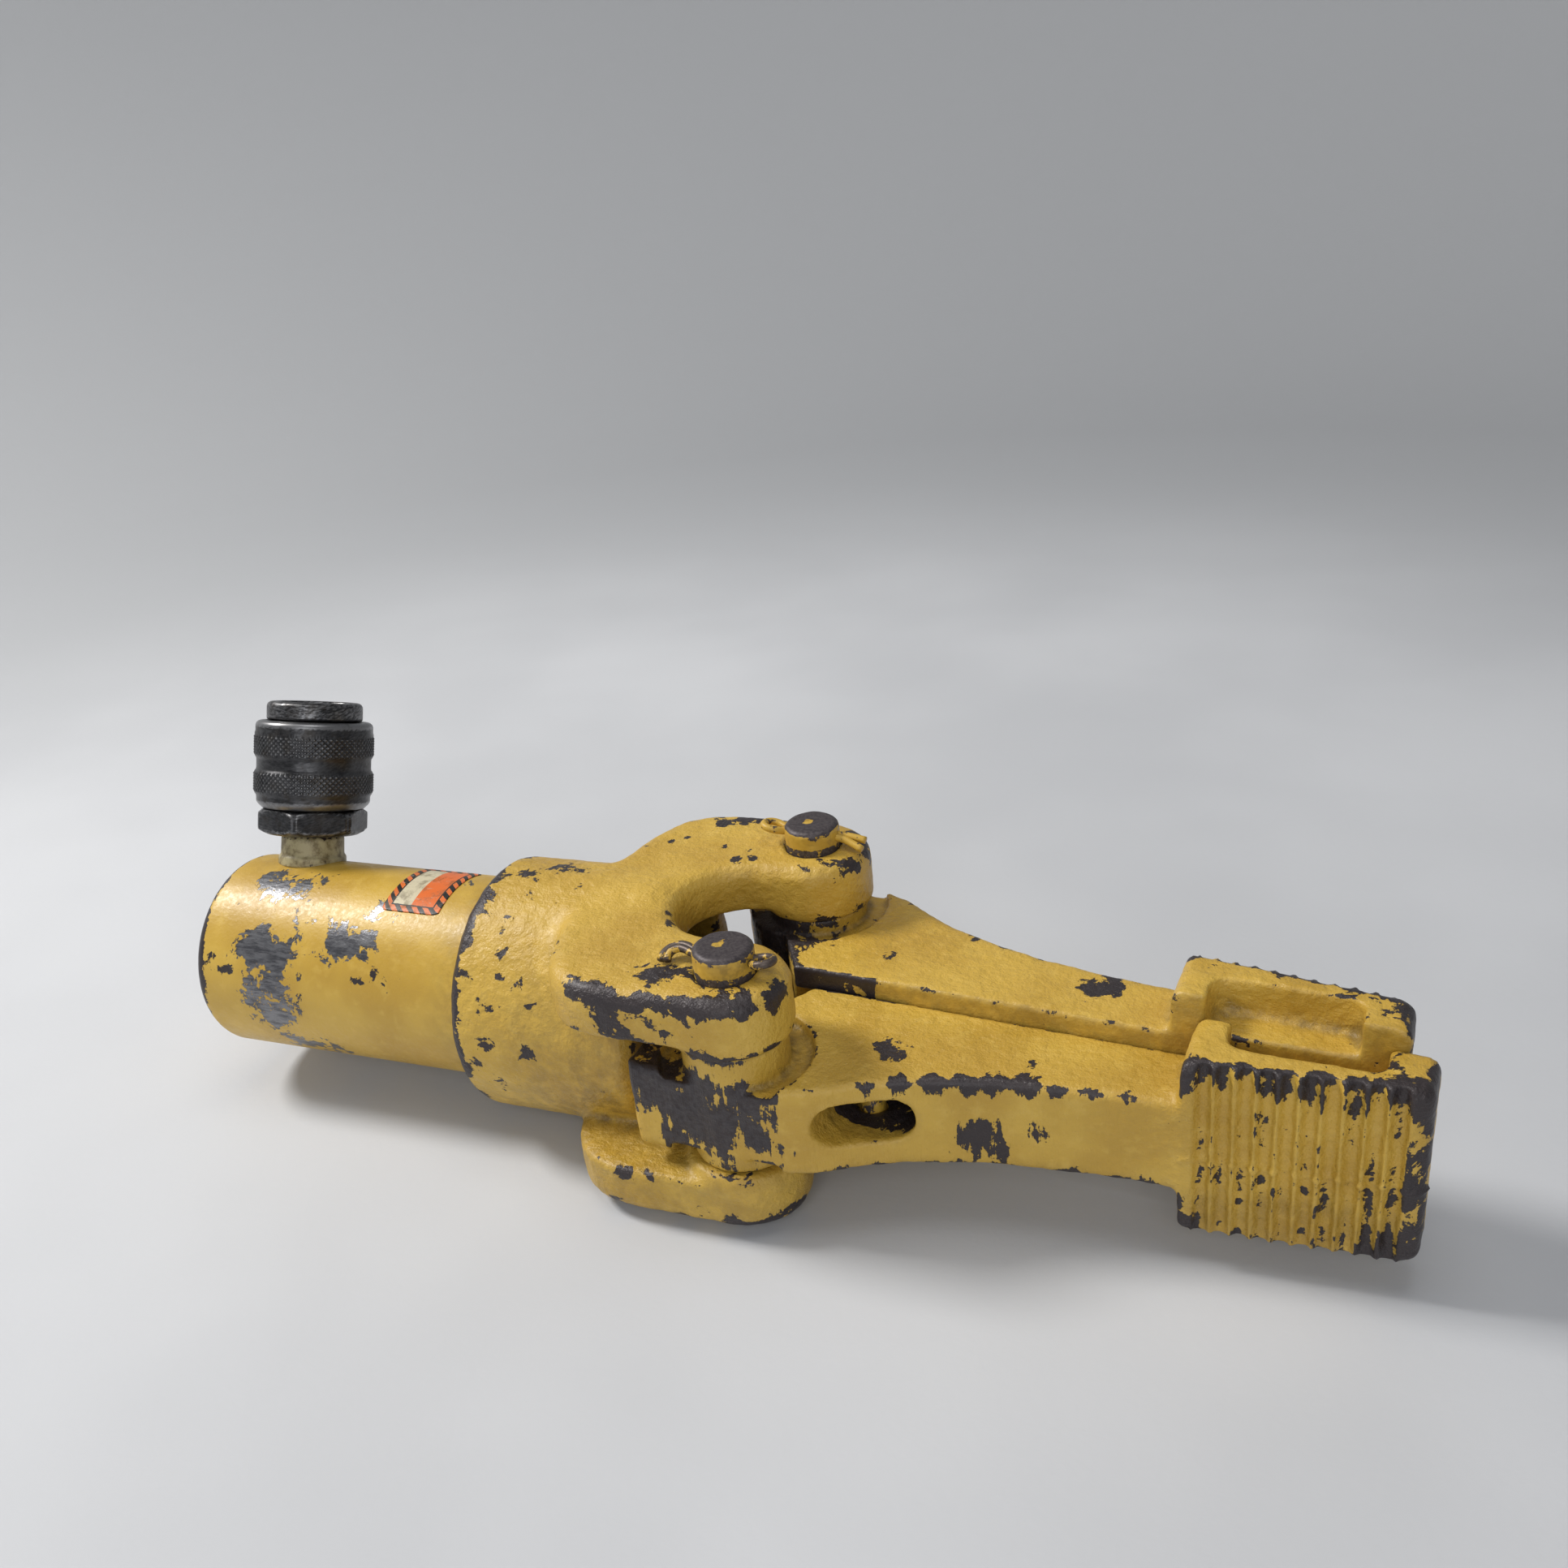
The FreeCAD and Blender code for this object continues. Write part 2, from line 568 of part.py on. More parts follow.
def make_coupler():
    lean = at(dim("port_x"), 0, 0, Rotation(Vector(1, 0, 0), -number(dim("port_lean"))))
    low, high = dim("hex_bottom"), dim("hex_top")
    core, top = dim("core_radius"), dim("coupler_top")
    thread, thread_depth = dim("thread_radius"), 10
    waterway, passage = 4.0, 9.0
    skin = dim("barrel_radius") + 0.1
    turned("port_nipple", "Z", [
        (dim("nipple_foot"), 4.5), (dim("nipple_foot"), thread), (skin, thread),
        (skin, dim("nipple_radius")), (low - 0.05, dim("nipple_radius")),
        (low - 0.05, thread), (low + thread_depth, thread), (low + thread_depth, 4.5)], lean)
    body = turned("coupler_body", "Z", [
        (low, thread + 0.05), (low, 13.0), (low + 0.05, 13.0), (high, 13.0), (high, core - 0.1),
        (dim("sleeve_top") + 0.05, core - 0.1), (dim("sleeve_top") + 0.05, core),
        (top - 1, core), (top, core - 1), (top, 10.6), (top - 4, 10.2), (top - 4, passage),
        (low + 16, passage), (low + 16, waterway), (low + thread_depth + 0.2, waterway),
        (low + thread_depth + 0.2, thread + 0.05)], lean)
    flats = body.newObject("PartDesign::AdditivePrism", "hex_flats_body")
    flats.Polygon = 6
    flats.setExpression("Circumradius", "Dims.hex_flats / sqrt(3)")
    flats.setExpression("Height", "Dims.hex_top - Dims.hex_bottom")
    flats.Placement = at(0, 0, low)
    doc.recompute()
    bore(body, "hex_bore", thread + 0.05, thread_depth + 0.2, at(0, 0, low))
    bore(body, "hex_waterway", waterway, 12, at(0, 0, low + 5))
    base, cap, outer = dim("sleeve_bottom"), dim("sleeve_top"), dim("sleeve_radius")
    turned("coupler_sleeve", "Z", [
        (base, core - 0.02), (base, outer - 2.4), (base + 2.2, outer), (base + 25, outer),
        (cap, outer - 1.3), (cap, core - 0.02)], lean)
    poppet_foot = low + 24
    turned("coupler_poppet", "Z", [
        (poppet_foot - 6, 0), (poppet_foot - 6, 2.2), (poppet_foot, 2.2), (poppet_foot, 6.5),
        (poppet_foot + 3, 6.5), (poppet_foot + 6.5, 3.4), (poppet_foot + 10, 3.4),
        (poppet_foot + 10, 0)], lean)
    tube("poppet_spring", "Z", low + 16.1, poppet_foot - 0.1, 4.2, 6.2, lean)
    tube("coupler_seat_ring", "Z", top - 8.4, top - 4.1, 6.7, 8.95, lean)
    tube("coupler_seal", "Z", top - 3.9, top - 1.9, 8.0, 10.0, lean)


def make_decal():
    """A thin wrapped sticker near the collar, on the ram's upper side."""
    radius, thick = number(dim("barrel_radius")) + 0.04, 0.16
    turn = Rotation(Vector(0, 0, 1), -90 - number(dim("decal_low_angle")) - number(dim("decal_angle")))
    ring = cylinder("decal_outer", radius + thick, dim("decal_length"), Placement())
    bind(ring, "Angle", dim("decal_angle"))
    hole = cylinder("decal_inner", radius, dim("decal_length"), Placement())
    keep(combine("Cut", "decal_cut", ring, hole), "safety_decal",
         at(dim("decal_start"), 0, 0, along_x.multiply(turn)))


make_ram()
make_head()
for side in ("near", "far"):
    make_jaw(side)
make_pins()
make_jaw_spring()
make_coupler()
make_decal()
doc.recompute()

for thing in doc.Objects:
    bad = [flag for flag in thing.State if flag in ("Invalid", "Error")]
    if bad:
        raise RuntimeError("%s failed: %s" % (thing.Label, bad))
os.makedirs("parts", exist_ok=True)
for label, thing in nodes.items():
    shape = thing.Shape
    if shape.isNull() or not shape.isValid() or not shape.Solids:
        raise RuntimeError(label + " is not a valid solid")
    print("%-22s %8.1f mm3  %d solid(s)" % (label, shape.Volume, len(shape.Solids)))
    shape.exportStep("parts/%s.step" % label)
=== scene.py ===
"""Looks of the hydraulic rescue spreader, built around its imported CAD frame.

Lengths in the tables below are millimetres in the CAD frame; Blender works in metres.
"""

import math

import bmesh
import bpy
import numpy as np
from mathutils import Matrix, Vector, noise


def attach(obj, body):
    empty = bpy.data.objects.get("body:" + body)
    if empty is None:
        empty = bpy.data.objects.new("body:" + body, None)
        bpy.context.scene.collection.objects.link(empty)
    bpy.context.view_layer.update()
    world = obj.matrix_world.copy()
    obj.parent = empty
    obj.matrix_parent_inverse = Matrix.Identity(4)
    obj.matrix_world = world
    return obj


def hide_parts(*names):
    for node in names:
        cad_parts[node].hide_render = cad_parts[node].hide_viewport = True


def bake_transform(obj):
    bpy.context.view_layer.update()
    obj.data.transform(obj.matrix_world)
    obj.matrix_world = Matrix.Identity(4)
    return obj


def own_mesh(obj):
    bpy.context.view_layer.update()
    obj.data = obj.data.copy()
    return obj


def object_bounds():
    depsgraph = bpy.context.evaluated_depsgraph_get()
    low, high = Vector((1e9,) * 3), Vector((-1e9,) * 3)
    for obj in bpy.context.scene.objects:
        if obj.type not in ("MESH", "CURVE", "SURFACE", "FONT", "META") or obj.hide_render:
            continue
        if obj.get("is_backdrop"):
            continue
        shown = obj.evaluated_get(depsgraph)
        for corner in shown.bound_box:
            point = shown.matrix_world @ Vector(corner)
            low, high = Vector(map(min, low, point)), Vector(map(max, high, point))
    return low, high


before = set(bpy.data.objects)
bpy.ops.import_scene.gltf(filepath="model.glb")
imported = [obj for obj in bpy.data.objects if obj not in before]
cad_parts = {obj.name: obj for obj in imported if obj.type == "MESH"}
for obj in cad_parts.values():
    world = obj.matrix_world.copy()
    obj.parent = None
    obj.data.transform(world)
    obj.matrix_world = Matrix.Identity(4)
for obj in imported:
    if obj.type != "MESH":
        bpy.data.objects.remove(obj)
cad_low, cad_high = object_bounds()
MM = 0.001
SIDES = {"near": -1, "far": 1}

PIVOT_X = 174.3
PIVOT_Y = 32.3
SPLIT_PIN_Z = 37.5
JAW_TILT = math.radians(-5.5)
BARREL_RADIUS = 28.575
COLLAR_RADIUS = 35.35
COUPLER_X = 18.6
COUPLER_LEAN = math.radians(-22.6)
PORT_FOOT = np.array((COUPLER_X, 11.0, 26.4))

YELLOW = (0.60, 0.382, 0.056, 1)
YELLOW_PALE = (0.68, 0.46, 0.095, 1)
YELLOW_DEEP = (0.49, 0.295, 0.036, 1)
# Dark brown for dirt; the enamel also uses it as painted shade.
DIRT_AND_SHADE = (0.10, 0.065, 0.022, 1)
CAST_IRON = (0.026, 0.021, 0.024, 1)
CAST_IRON_WARM = (0.046, 0.034, 0.033, 1)
BARE_STEEL = (0.23, 0.23, 0.24, 1)
BARE_STEEL_DARK = (0.10, 0.10, 0.11, 1)


# ---- shader graphs

class Graph:
    """Builds one Principled material from short calls."""

    def __init__(self, name):
        self.material = bpy.data.materials.new(name)
        self.material.use_nodes = True
        self.tree = self.material.node_tree
        self.tree.nodes.clear()
        self.shader = self.tree.nodes.new("ShaderNodeBsdfPrincipled")
        output = self.tree.nodes.new("ShaderNodeOutputMaterial")
        self.tree.links.new(self.shader.outputs[0], output.inputs["Surface"])
        self.place = self.node("TexCoord").outputs["Object"]

    def put(self, socket, value):
        if isinstance(value, bpy.types.NodeSocket):
            self.tree.links.new(value, socket)
        else:
            socket.default_value = value

    def node(self, kind, inputs=None, **settings):
        made = self.tree.nodes.new("ShaderNode" + kind)
        for key, value in settings.items():
            setattr(made, key, value)
        for key, value in (inputs or {}).items():
            self.put(made.inputs[key], value)
        return made

    def surface(self, **sockets):
        for key, value in sockets.items():
            self.put(self.shader.inputs[key.replace("_", " ")], value)
        return self.material

    def attribute(self, name):
        return self.node("Attribute", attribute_name=name).outputs["Fac"]

    def noise(self, size, detail=4.0, rough=0.55, distort=0.0, stretch=(1, 1, 1), shift=0.0):
        """Fractal noise whose features are about `size` mm across."""
        place = self.place
        if stretch != (1, 1, 1) or shift:
            place = self.node("Mapping", {"Vector": place, "Scale": stretch,
                                          "Location": (shift, shift, shift)}).outputs[0]
        return self.node("TexNoise", {"Vector": place, "Scale": 1 / (size * MM), "Detail": detail,
                                      "Roughness": rough, "Distortion": distort}).outputs[0]

    def math(self, operation, a, b=0.0):
        return self.node("Math", {0: a, 1: b}, operation=operation).outputs[0]

    def add(self, a, b):
        return self.math("ADD", a, b)

    def times(self, a, b):
        return self.math("MULTIPLY", a, b)

    def step(self, value, low, high, to_low=0.0, to_high=1.0):
        return self.node("MapRange", {"Value": value, "From Min": low, "From Max": high,
                                      "To Min": to_low, "To Max": to_high},
                         interpolation_type="SMOOTHSTEP").outputs[0]

    def mix(self, factor, a, b):
        """Between two colours."""
        return self.node("Mix", {0: factor, 6: a, 7: b}, data_type="RGBA").outputs[2]

    def blend(self, factor, a, b):
        """Between two numbers."""
        return self.node("Mix", {0: factor, 2: a, 3: b}, data_type="FLOAT").outputs[0]

    def bump(self, height, depth, strength=1.0, normal=None):
        """Bump from a 0..1 height that stands for `depth` mm."""
        made = self.node("Bump", {"Height": height, "Distance": depth * MM, "Strength": strength})
        if normal is not None:
            self.put(made.inputs["Normal"], normal)
        return made.outputs[0]


def enamel():
    """Brushed-on yellow enamel over dark cast iron, chipped where the mesh says so."""
    g = Graph("worn_yellow_enamel")
    wear, grime, ground = g.attribute("wear"), g.attribute("grime"), g.attribute("ground")
    steel = g.attribute("steel")
    broad = g.noise(6.5, 7.0, 0.66, 0.5)
    fine = g.noise(1.5, 4.0, 0.62)
    brushed = g.noise(2.0, 5.0, 0.68, 0.1, stretch=(1.0, 1.0, 0.11), shift=0.31)
    grain = g.blend(g.times(ground, 0.6), broad, brushed)
    ragged = g.add(g.times(g.add(grain, -0.5), 2.9), g.times(g.add(fine, -0.5), 0.8))
    bare = g.step(g.add(wear, ragged), 0.49, 0.525)

    tone = g.noise(26.0, 3.0, 0.5, shift=0.7)
    paint = g.mix(g.step(tone, 0.35, 0.65), YELLOW_DEEP, YELLOW)
    paint = g.mix(g.times(g.step(g.noise(4.0, 3.0), 0.5, 0.75), 0.35), paint, YELLOW_PALE)
    # The grime layer darkens the paint towards dark brown: real dirt, painted shade in hollows, recesses and
    # between parts, and darkening towards the bottom.
    smear = g.times(grime, g.step(g.noise(5.0, 5.0, 0.65, shift=1.3), 0.28, 0.66))
    paint = g.mix(g.times(smear, 0.8), paint, DIRT_AND_SHADE)
    fleck = g.times(g.step(g.noise(0.9, 3.0, 0.6, shift=2.1), 0.70, 0.78), 0.45)
    paint = g.mix(fleck, paint, DIRT_AND_SHADE)

    iron = g.mix(g.noise(6.0, 4.0, shift=3.3), CAST_IRON, CAST_IRON_WARM)
    scratch = g.noise(1.1, 4.0, 0.7, stretch=(0.22, 1.0, 1.0), shift=0.9)
    shiny = g.mix(g.step(scratch, 0.36, 0.62), BARE_STEEL_DARK, BARE_STEEL)
    metal = g.mix(g.times(steel, g.step(g.add(fine, g.times(steel, 0.35)), 0.42, 0.62)), iron, shiny)
    colour = g.mix(bare, paint, metal)

    rough = g.blend(bare, g.step(fine, 0.3, 0.7, 0.35, 0.52), g.blend(steel, 0.42, 0.34))
    metallic = g.times(bare, g.blend(steel, 0.25, 0.85))
    smooth = g.attribute("smooth")
    peel = g.bump(g.noise(1.0, 3.0, 0.6, shift=4.0), 0.18, g.blend(smooth, 1.0, 0.45))
    cast = g.bump(g.noise(2.4, 4.0, 0.62, shift=5.0), 0.72, g.blend(smooth, 1.0, 0.10), peel)
    strokes = g.noise(0.9, 3.0, 0.6, stretch=(1.0, 1.0, 0.07), shift=0.53)
    marks = g.bump(strokes, 0.30, g.times(ground, 0.9), cast)
    edge = g.bump(g.math("SUBTRACT", 1.0, bare), 0.13, 1.0, marks)
    return g.surface(Base_Color=colour, Roughness=rough, Metallic=metallic, Normal=edge,
                     Coat_Weight=0.1, Coat_Roughness=0.3)


def worked_metal(name, dark, light, rough, size, stretch, metallic, bump, edge, oil):
    """Machined or treated metal: two tones, fine tooling marks, rubbed edges if given."""
    g = Graph(name)
    lines = g.noise(size, 5.0, 0.65, stretch=stretch)
    clouds = g.noise(size * 6, 4.0, 0.6, shift=1.7)
    colour = g.mix(g.step(g.add(g.times(lines, 0.55), g.times(clouds, 0.45)), 0.35, 0.65), dark, light)
    if edge is not None:
        worn = g.step(g.add(g.attribute("wear"), g.times(g.add(lines, -0.5), 0.9)), 0.40, 0.70)
        colour = g.mix(worn, colour, edge)
    roughness = g.step(clouds, 0.3, 0.7, rough - 0.07, rough + 0.09)
    stain = g.times(g.step(g.noise(size * 3, 5.0, 0.7, shift=2.9), 0.48, 0.66), oil)
    colour = g.mix(stain, colour, (0.035, 0.026, 0.016, 1))
    return g.surface(Base_Color=colour, Roughness=g.add(roughness, g.times(stain, 0.25)),
                     Metallic=metallic, Normal=g.bump(lines, bump))


def elastic(name, dark, light, rough, size):
    """Rubber or plastic: matt, faintly mottled, with a moulded grain."""
    g = Graph(name)
    mottle = g.noise(size, 5.0, 0.6)
    grain = g.noise(0.35, 2.0, 0.5, shift=1.1)
    return g.surface(Base_Color=g.mix(g.step(mottle, 0.3, 0.7), dark, light),
                     Roughness=g.step(grain, 0.3, 0.7, rough - 0.06, rough + 0.06), Metallic=0.0,
                     Normal=g.bump(grain, 0.03), Specular_IOR_Level=0.4)


def nipple_finish():
    """Primer-coloured paint, dirty and rubbed through."""
    g = Graph("dirty_cream_enamel")
    stain = g.step(g.noise(3.0, 5.0, 0.65), 0.38, 0.66)
    colour = g.mix(stain, (0.40, 0.345, 0.19, 1), (0.17, 0.13, 0.055, 1))
    streak = g.noise(1.2, 4.0, 0.6, stretch=(1, 1, 0.25), shift=1.9)
    bare = g.step(g.add(g.attribute("wear"), g.times(g.add(streak, -0.5), 1.6)), 0.52, 0.60)
    return g.surface(Base_Color=g.mix(bare, colour, CAST_IRON_WARM), Metallic=g.times(bare, 0.6),
                     Roughness=g.blend(bare, 0.5, 0.42),
                     Normal=g.bump(g.noise(1.3, 3.0, 0.5, shift=3.0), 0.05))


def pin_finish():
    """Pin ends: dark forged steel on top, yellow overspray on the flank."""
    g = Graph("pin_end_steel")
    spots = g.noise(2.6, 5.0, 0.66, 0.2)
    turned = g.noise(0.8, 4.0, 0.6, shift=1.0)
    iron = g.mix(g.step(turned, 0.3, 0.7), (0.045, 0.036, 0.040, 1), (0.095, 0.080, 0.080, 1))
    bare = g.step(g.add(g.attribute("wear"), g.times(g.add(spots, -0.5), 1.7)), 0.48, 0.53)
    paint = g.mix(g.step(g.noise(5.0, 3.0, shift=2.0), 0.4, 0.65), YELLOW_DEEP, YELLOW)
    smear = g.step(g.noise(3.0, 5.0, 0.65, shift=3.1), 0.48, 0.68)
    paint = g.mix(g.times(smear, 0.4), paint, DIRT_AND_SHADE)
    ridge = g.bump(g.math("SUBTRACT", 1.0, bare), 0.12, 1.0, g.bump(turned, 0.05))
    return g.surface(Base_Color=g.mix(bare, paint, iron), Metallic=g.times(bare, 0.35),
                     Roughness=g.blend(bare, 0.4, 0.5), Normal=ridge)


def wire_finish(name, paint_share):
    """Split-pin and hook wire: painted over with the casting, rubbed to dark steel."""
    g = Graph(name)
    spots = g.noise(2.0, 4.0, 0.6, 0.2)
    bare = g.step(g.add(g.times(spots, 1.5), -paint_share), 0.20, 0.27)
    steel = g.mix(g.noise(1.0, 3.0, shift=1.5), (0.05, 0.035, 0.032, 1), (0.15, 0.12, 0.10, 1))
    paint = g.mix(g.noise(3.0, 3.0, shift=2.5), YELLOW_DEEP, YELLOW)
    return g.surface(Base_Color=g.mix(bare, paint, steel), Metallic=g.times(bare, 0.6),
                     Roughness=g.blend(bare, 0.42, 0.45),
                     Normal=g.bump(g.noise(0.7, 3.0, shift=3.5), 0.04))


def decal_finish():
    """A generic two-colour film with a striped border, scuffed and soiled."""
    g = Graph("scuffed_decal_film")
    along, round_ = g.attribute("along"), g.attribute("round")
    halves = g.mix(g.math("GREATER_THAN", along, 0.47), (0.62, 0.55, 0.38, 1), (0.72, 0.15, 0.025, 1))
    rim = g.math("MINIMUM", g.math("MINIMUM", along, g.math("SUBTRACT", 1.0, along)),
                 g.times(g.math("MINIMUM", round_, g.math("SUBTRACT", 1.0, round_)), 1.4))
    slant = g.math("FRACT", g.times(g.add(g.times(along, 1.0), g.times(round_, 1.4)), 5.0))
    stripes = g.mix(g.math("GREATER_THAN", slant, 0.5), (0.70, 0.16, 0.03, 1), (0.012, 0.011, 0.010, 1))
    colour = g.mix(g.math("LESS_THAN", rim, 0.12), halves, stripes)
    line = g.times(g.math("GREATER_THAN", rim, 0.12), g.math("LESS_THAN", rim, 0.145))
    colour = g.mix(line, colour, (0.02, 0.018, 0.015, 1))
    soil = g.times(g.step(g.noise(4.0, 5.0, 0.68), 0.46, 0.66), 0.55)
    colour = g.mix(soil, colour, DIRT_AND_SHADE)
    scuff = g.step(g.noise(1.2, 4.0, 0.7, stretch=(0.4, 1, 1), shift=2.2), 0.63, 0.68)
    colour = g.mix(g.times(scuff, 0.7), colour, (0.45, 0.40, 0.30, 1))
    return g.surface(Base_Color=colour, Roughness=g.step(soil, 0.0, 0.5, 0.38, 0.6),
                     Normal=g.bump(g.noise(2.4, 3.0, shift=4.1), 0.05))


# ---- mesh tools

def add_object(name, data):
    made = bpy.data.objects.new(name, data)
    bpy.context.scene.collection.objects.link(made)
    return made


def smooth_piece(name, mesh):
    """A smooth-shaded object with this mesh."""
    mesh.name = name
    mesh.polygons.foreach_set("use_smooth", [True] * len(mesh.polygons))
    mesh.update()
    return add_object(name, mesh)


def new_piece(name, points, faces):
    """A smooth-shaded mesh object from points in millimetres."""
    mesh = bpy.data.meshes.new(name)
    mesh.from_pydata((np.asarray(points, float) * MM).tolist(), [], faces)
    mesh.validate()
    return smooth_piece(name, mesh)


def weld(source, target, distance):
    """Copy a mesh with its doubled points merged."""
    work = bmesh.new()
    work.from_mesh(source)
    bmesh.ops.remove_doubles(work, verts=work.verts, dist=distance)
    work.to_mesh(target)
    work.free()


def take_result(holder):
    """The mesh that a modifier or a curve makes; its holder is removed."""
    bpy.context.view_layer.update()
    evaluated = holder.evaluated_get(bpy.context.evaluated_depsgraph_get())
    mesh = bpy.data.meshes.new_from_object(evaluated)
    bpy.data.objects.remove(holder)
    return mesh


def store(mesh, name, values):
    layer = mesh.attributes.get(name) or mesh.attributes.new(name, "FLOAT", "POINT")
    full = np.broadcast_to(np.asarray(values, np.float32), len(mesh.vertices))
    layer.data.foreach_set("value", np.ascontiguousarray(full))


def finish_piece(piece, body, slot, material, *nodes):
    """Material, body and the CAD nodes that this piece stands for; the slot argument is not used."""
    piece.data.materials.clear()
    piece.data.materials.append(material)
    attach(piece, body)
    if nodes:
        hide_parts(*nodes)
    return piece


def even_mesh(node, name, voxel):
    """A dense, even copy of a CAD node, ready for softening and weathering."""
    mesh = bpy.data.meshes.new(name + "_welded")
    weld(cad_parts[node].data, mesh, 1e-6)
    holder = add_object(name + "_welded", mesh)
    modifier = holder.modifiers.new("even", "REMESH")
    modifier.mode = "VOXEL"
    modifier.voxel_size = voxel * MM
    modifier.adaptivity = 0.0
    return smooth_piece(name, take_result(holder))


class Skin:
    """A mesh's points in millimetres with neighbour averages, for numpy sculpting."""

    def __init__(self, piece):
        self.mesh = piece.data
        self.size = len(self.mesh.vertices)
        flat = np.empty(self.size * 3)
        self.mesh.vertices.foreach_get("co", flat)
        self.co = flat.reshape(-1, 3) / MM
        pairs = np.empty(len(self.mesh.edges) * 2, np.int64)
        self.mesh.edges.foreach_get("vertices", pairs)
        self.a, self.b = pairs.reshape(-1, 2).T
        self.count = np.maximum(1, np.bincount(self.a, minlength=self.size)
                                + np.bincount(self.b, minlength=self.size)).astype(float)

    def mean(self, values):
        out = np.empty_like(values)
        for k in range(values.shape[1]):
            out[:, k] = (np.bincount(self.a, values[self.b, k], self.size)
                         + np.bincount(self.b, values[self.a, k], self.size))
        return out / self.count[:, None]

    def normals(self):
        self.write()
        flat = np.empty(self.size * 3)
        self.mesh.vertices.foreach_get("normal", flat)
        return flat.reshape(-1, 3)

    def write(self):
        self.mesh.vertices.foreach_set("co", (self.co * MM).ravel())
        self.mesh.update()

    def save(self, wear, **layers):
        """Write the points and the values that the finishes read from them."""
        store(self.mesh, "wear", np.clip(wear, -1, 1.3))
        for name, values in layers.items():
            store(self.mesh, name, np.clip(values, 0, 1))
        self.write()

    def soften(self, rounds, weight):
        weight = np.broadcast_to(weight, self.size)[:, None]
        for _ in range(rounds):
            self.co += weight * (self.mean(self.co) - self.co)

    def fill(self, rounds, weight):
        """Round the valleys only, as a casting's fillets do."""
        for _ in range(rounds // 5):
            normal = self.normals()
            for _ in range(5):
                shift = self.mean(self.co) - self.co
                out = np.einsum("ij,ij->i", shift, normal) > 0
                self.co += (weight * out)[:, None] * shift

    def convexity(self, rounds):
        """How far each point stands proud of its surroundings, in millimetres."""
        normal = self.normals()
        soft = self.co.copy()
        for _ in range(rounds):
            soft = self.mean(soft)
        return np.einsum("ij,ij->i", self.co - soft, normal)

    def roughen(self, size, depth, weight, seed):
        """Foundry unevenness along the normals."""
        normal = self.normals()
        offset = Vector((seed, seed * 0.37, -seed))
        lumps = np.array([noise.noise(Vector(p) / size + offset) for p in self.co])
        self.co += normal * (lumps * depth * weight)[:, None]


def blobs(points, table, grow):
    """Soft round spots; each row is a centre, a radius and a strength."""
    total = np.zeros(len(points))
    for x, y, z, radius, strength in table:
        away = ((points - np.array((x, y, z))) ** 2).sum(1)
        total = np.maximum(total, strength * np.exp(-away / (radius * grow) ** 2))
    return total


def on_cylinder(radius, rows):
    """Spots given as (x, degrees from the near side up over the top, radius, strength)."""
    out = []
    for x, degrees, size, strength in rows:
        angle = math.radians(degrees)
        out.append((x, -radius * math.cos(angle), radius * math.sin(angle), size, strength))
    return out


def ramp(values, low, high):
    t = np.clip((values - low) / (high - low), 0, 1)
    return t * t * (3 - 2 * t)


def lathe(name, radius_at, heights, steps, matrix, closed=True):
    """A ring or, if not closed, a capped solid: radius_at(angles, row) gives a row's radius."""
    angles = np.linspace(0, 2 * math.pi, steps, endpoint=False)
    points = []
    for row, height in enumerate(heights):
        radius = radius_at(angles, row)
        ring = np.stack([radius * np.cos(angles), radius * np.sin(angles),
                         np.full(steps, float(height))], 1)
        points.append(ring)
    rows = len(heights)
    faces = []
    for row in range(rows if closed else rows - 1):
        here, there = row * steps, ((row + 1) % rows) * steps
        for i in range(steps):
            j = (i + 1) % steps
            faces.append((here + i, here + j, there + j, there + i))
    if not closed:
        top = (rows - 1) * steps
        faces.append(tuple(range(steps - 1, -1, -1)))
        faces.append(tuple(range(top, top + steps)))
    placed = np.concatenate(points) @ np.array(matrix.to_3x3()).T + np.array(matrix.translation)
    return new_piece(name, placed, faces)


def turned(name, corners, steps, matrix, soften, closed=True):
    """A turned ring, or a solid if not closed, from (height, radius) corners, slightly rounded."""
    profile = []
    count = len(corners)
    for i, corner in enumerate(corners):
        here = np.array(corner, float)
        if not closed and i in (0, count - 1):
            profile.append(here)
            continue
        before, after = np.array(corners[i - 1], float), np.array(corners[(i + 1) % count], float)
        back, ahead = before - here, after - here
        cut_back = min(soften, np.linalg.norm(back) * 0.4) / max(np.linalg.norm(back), 1e-9)
        cut_ahead = min(soften, np.linalg.norm(ahead) * 0.4) / max(np.linalg.norm(ahead), 1e-9)
        start, end = here + back * cut_back, here + ahead * cut_ahead
        for t in (0.0, 0.25, 0.5, 0.75, 1.0):
            profile.append((1 - t) ** 2 * start + 2 * t * (1 - t) * here + t * t * end)
    profile = np.array(profile)
    return lathe(name, lambda angles, row: profile[row, 1], profile[:, 0], steps, matrix, closed)


def wire(name, points, radius, resolution):
    """A round wire mesh along a smooth path of millimetre points."""
    curve = bpy.data.curves.new(name, "CURVE")
    curve.dimensions = "3D"
    curve.resolution_u = resolution
    curve.bevel_depth = radius * MM
    curve.bevel_resolution = 4
    curve.use_fill_caps = True
    spline = curve.splines.new("NURBS")
    spline.points.add(len(points) - 1)
    for point, place in zip(spline.points, points):
        point.co = (place[0] * MM, place[1] * MM, place[2] * MM, 1)
    spline.order_u = 4
    spline.use_endpoint_u = True
    mesh = take_result(add_object(name + "_path", curve))
    weld(mesh, mesh, 1e-7)
    return smooth_piece(name, mesh)


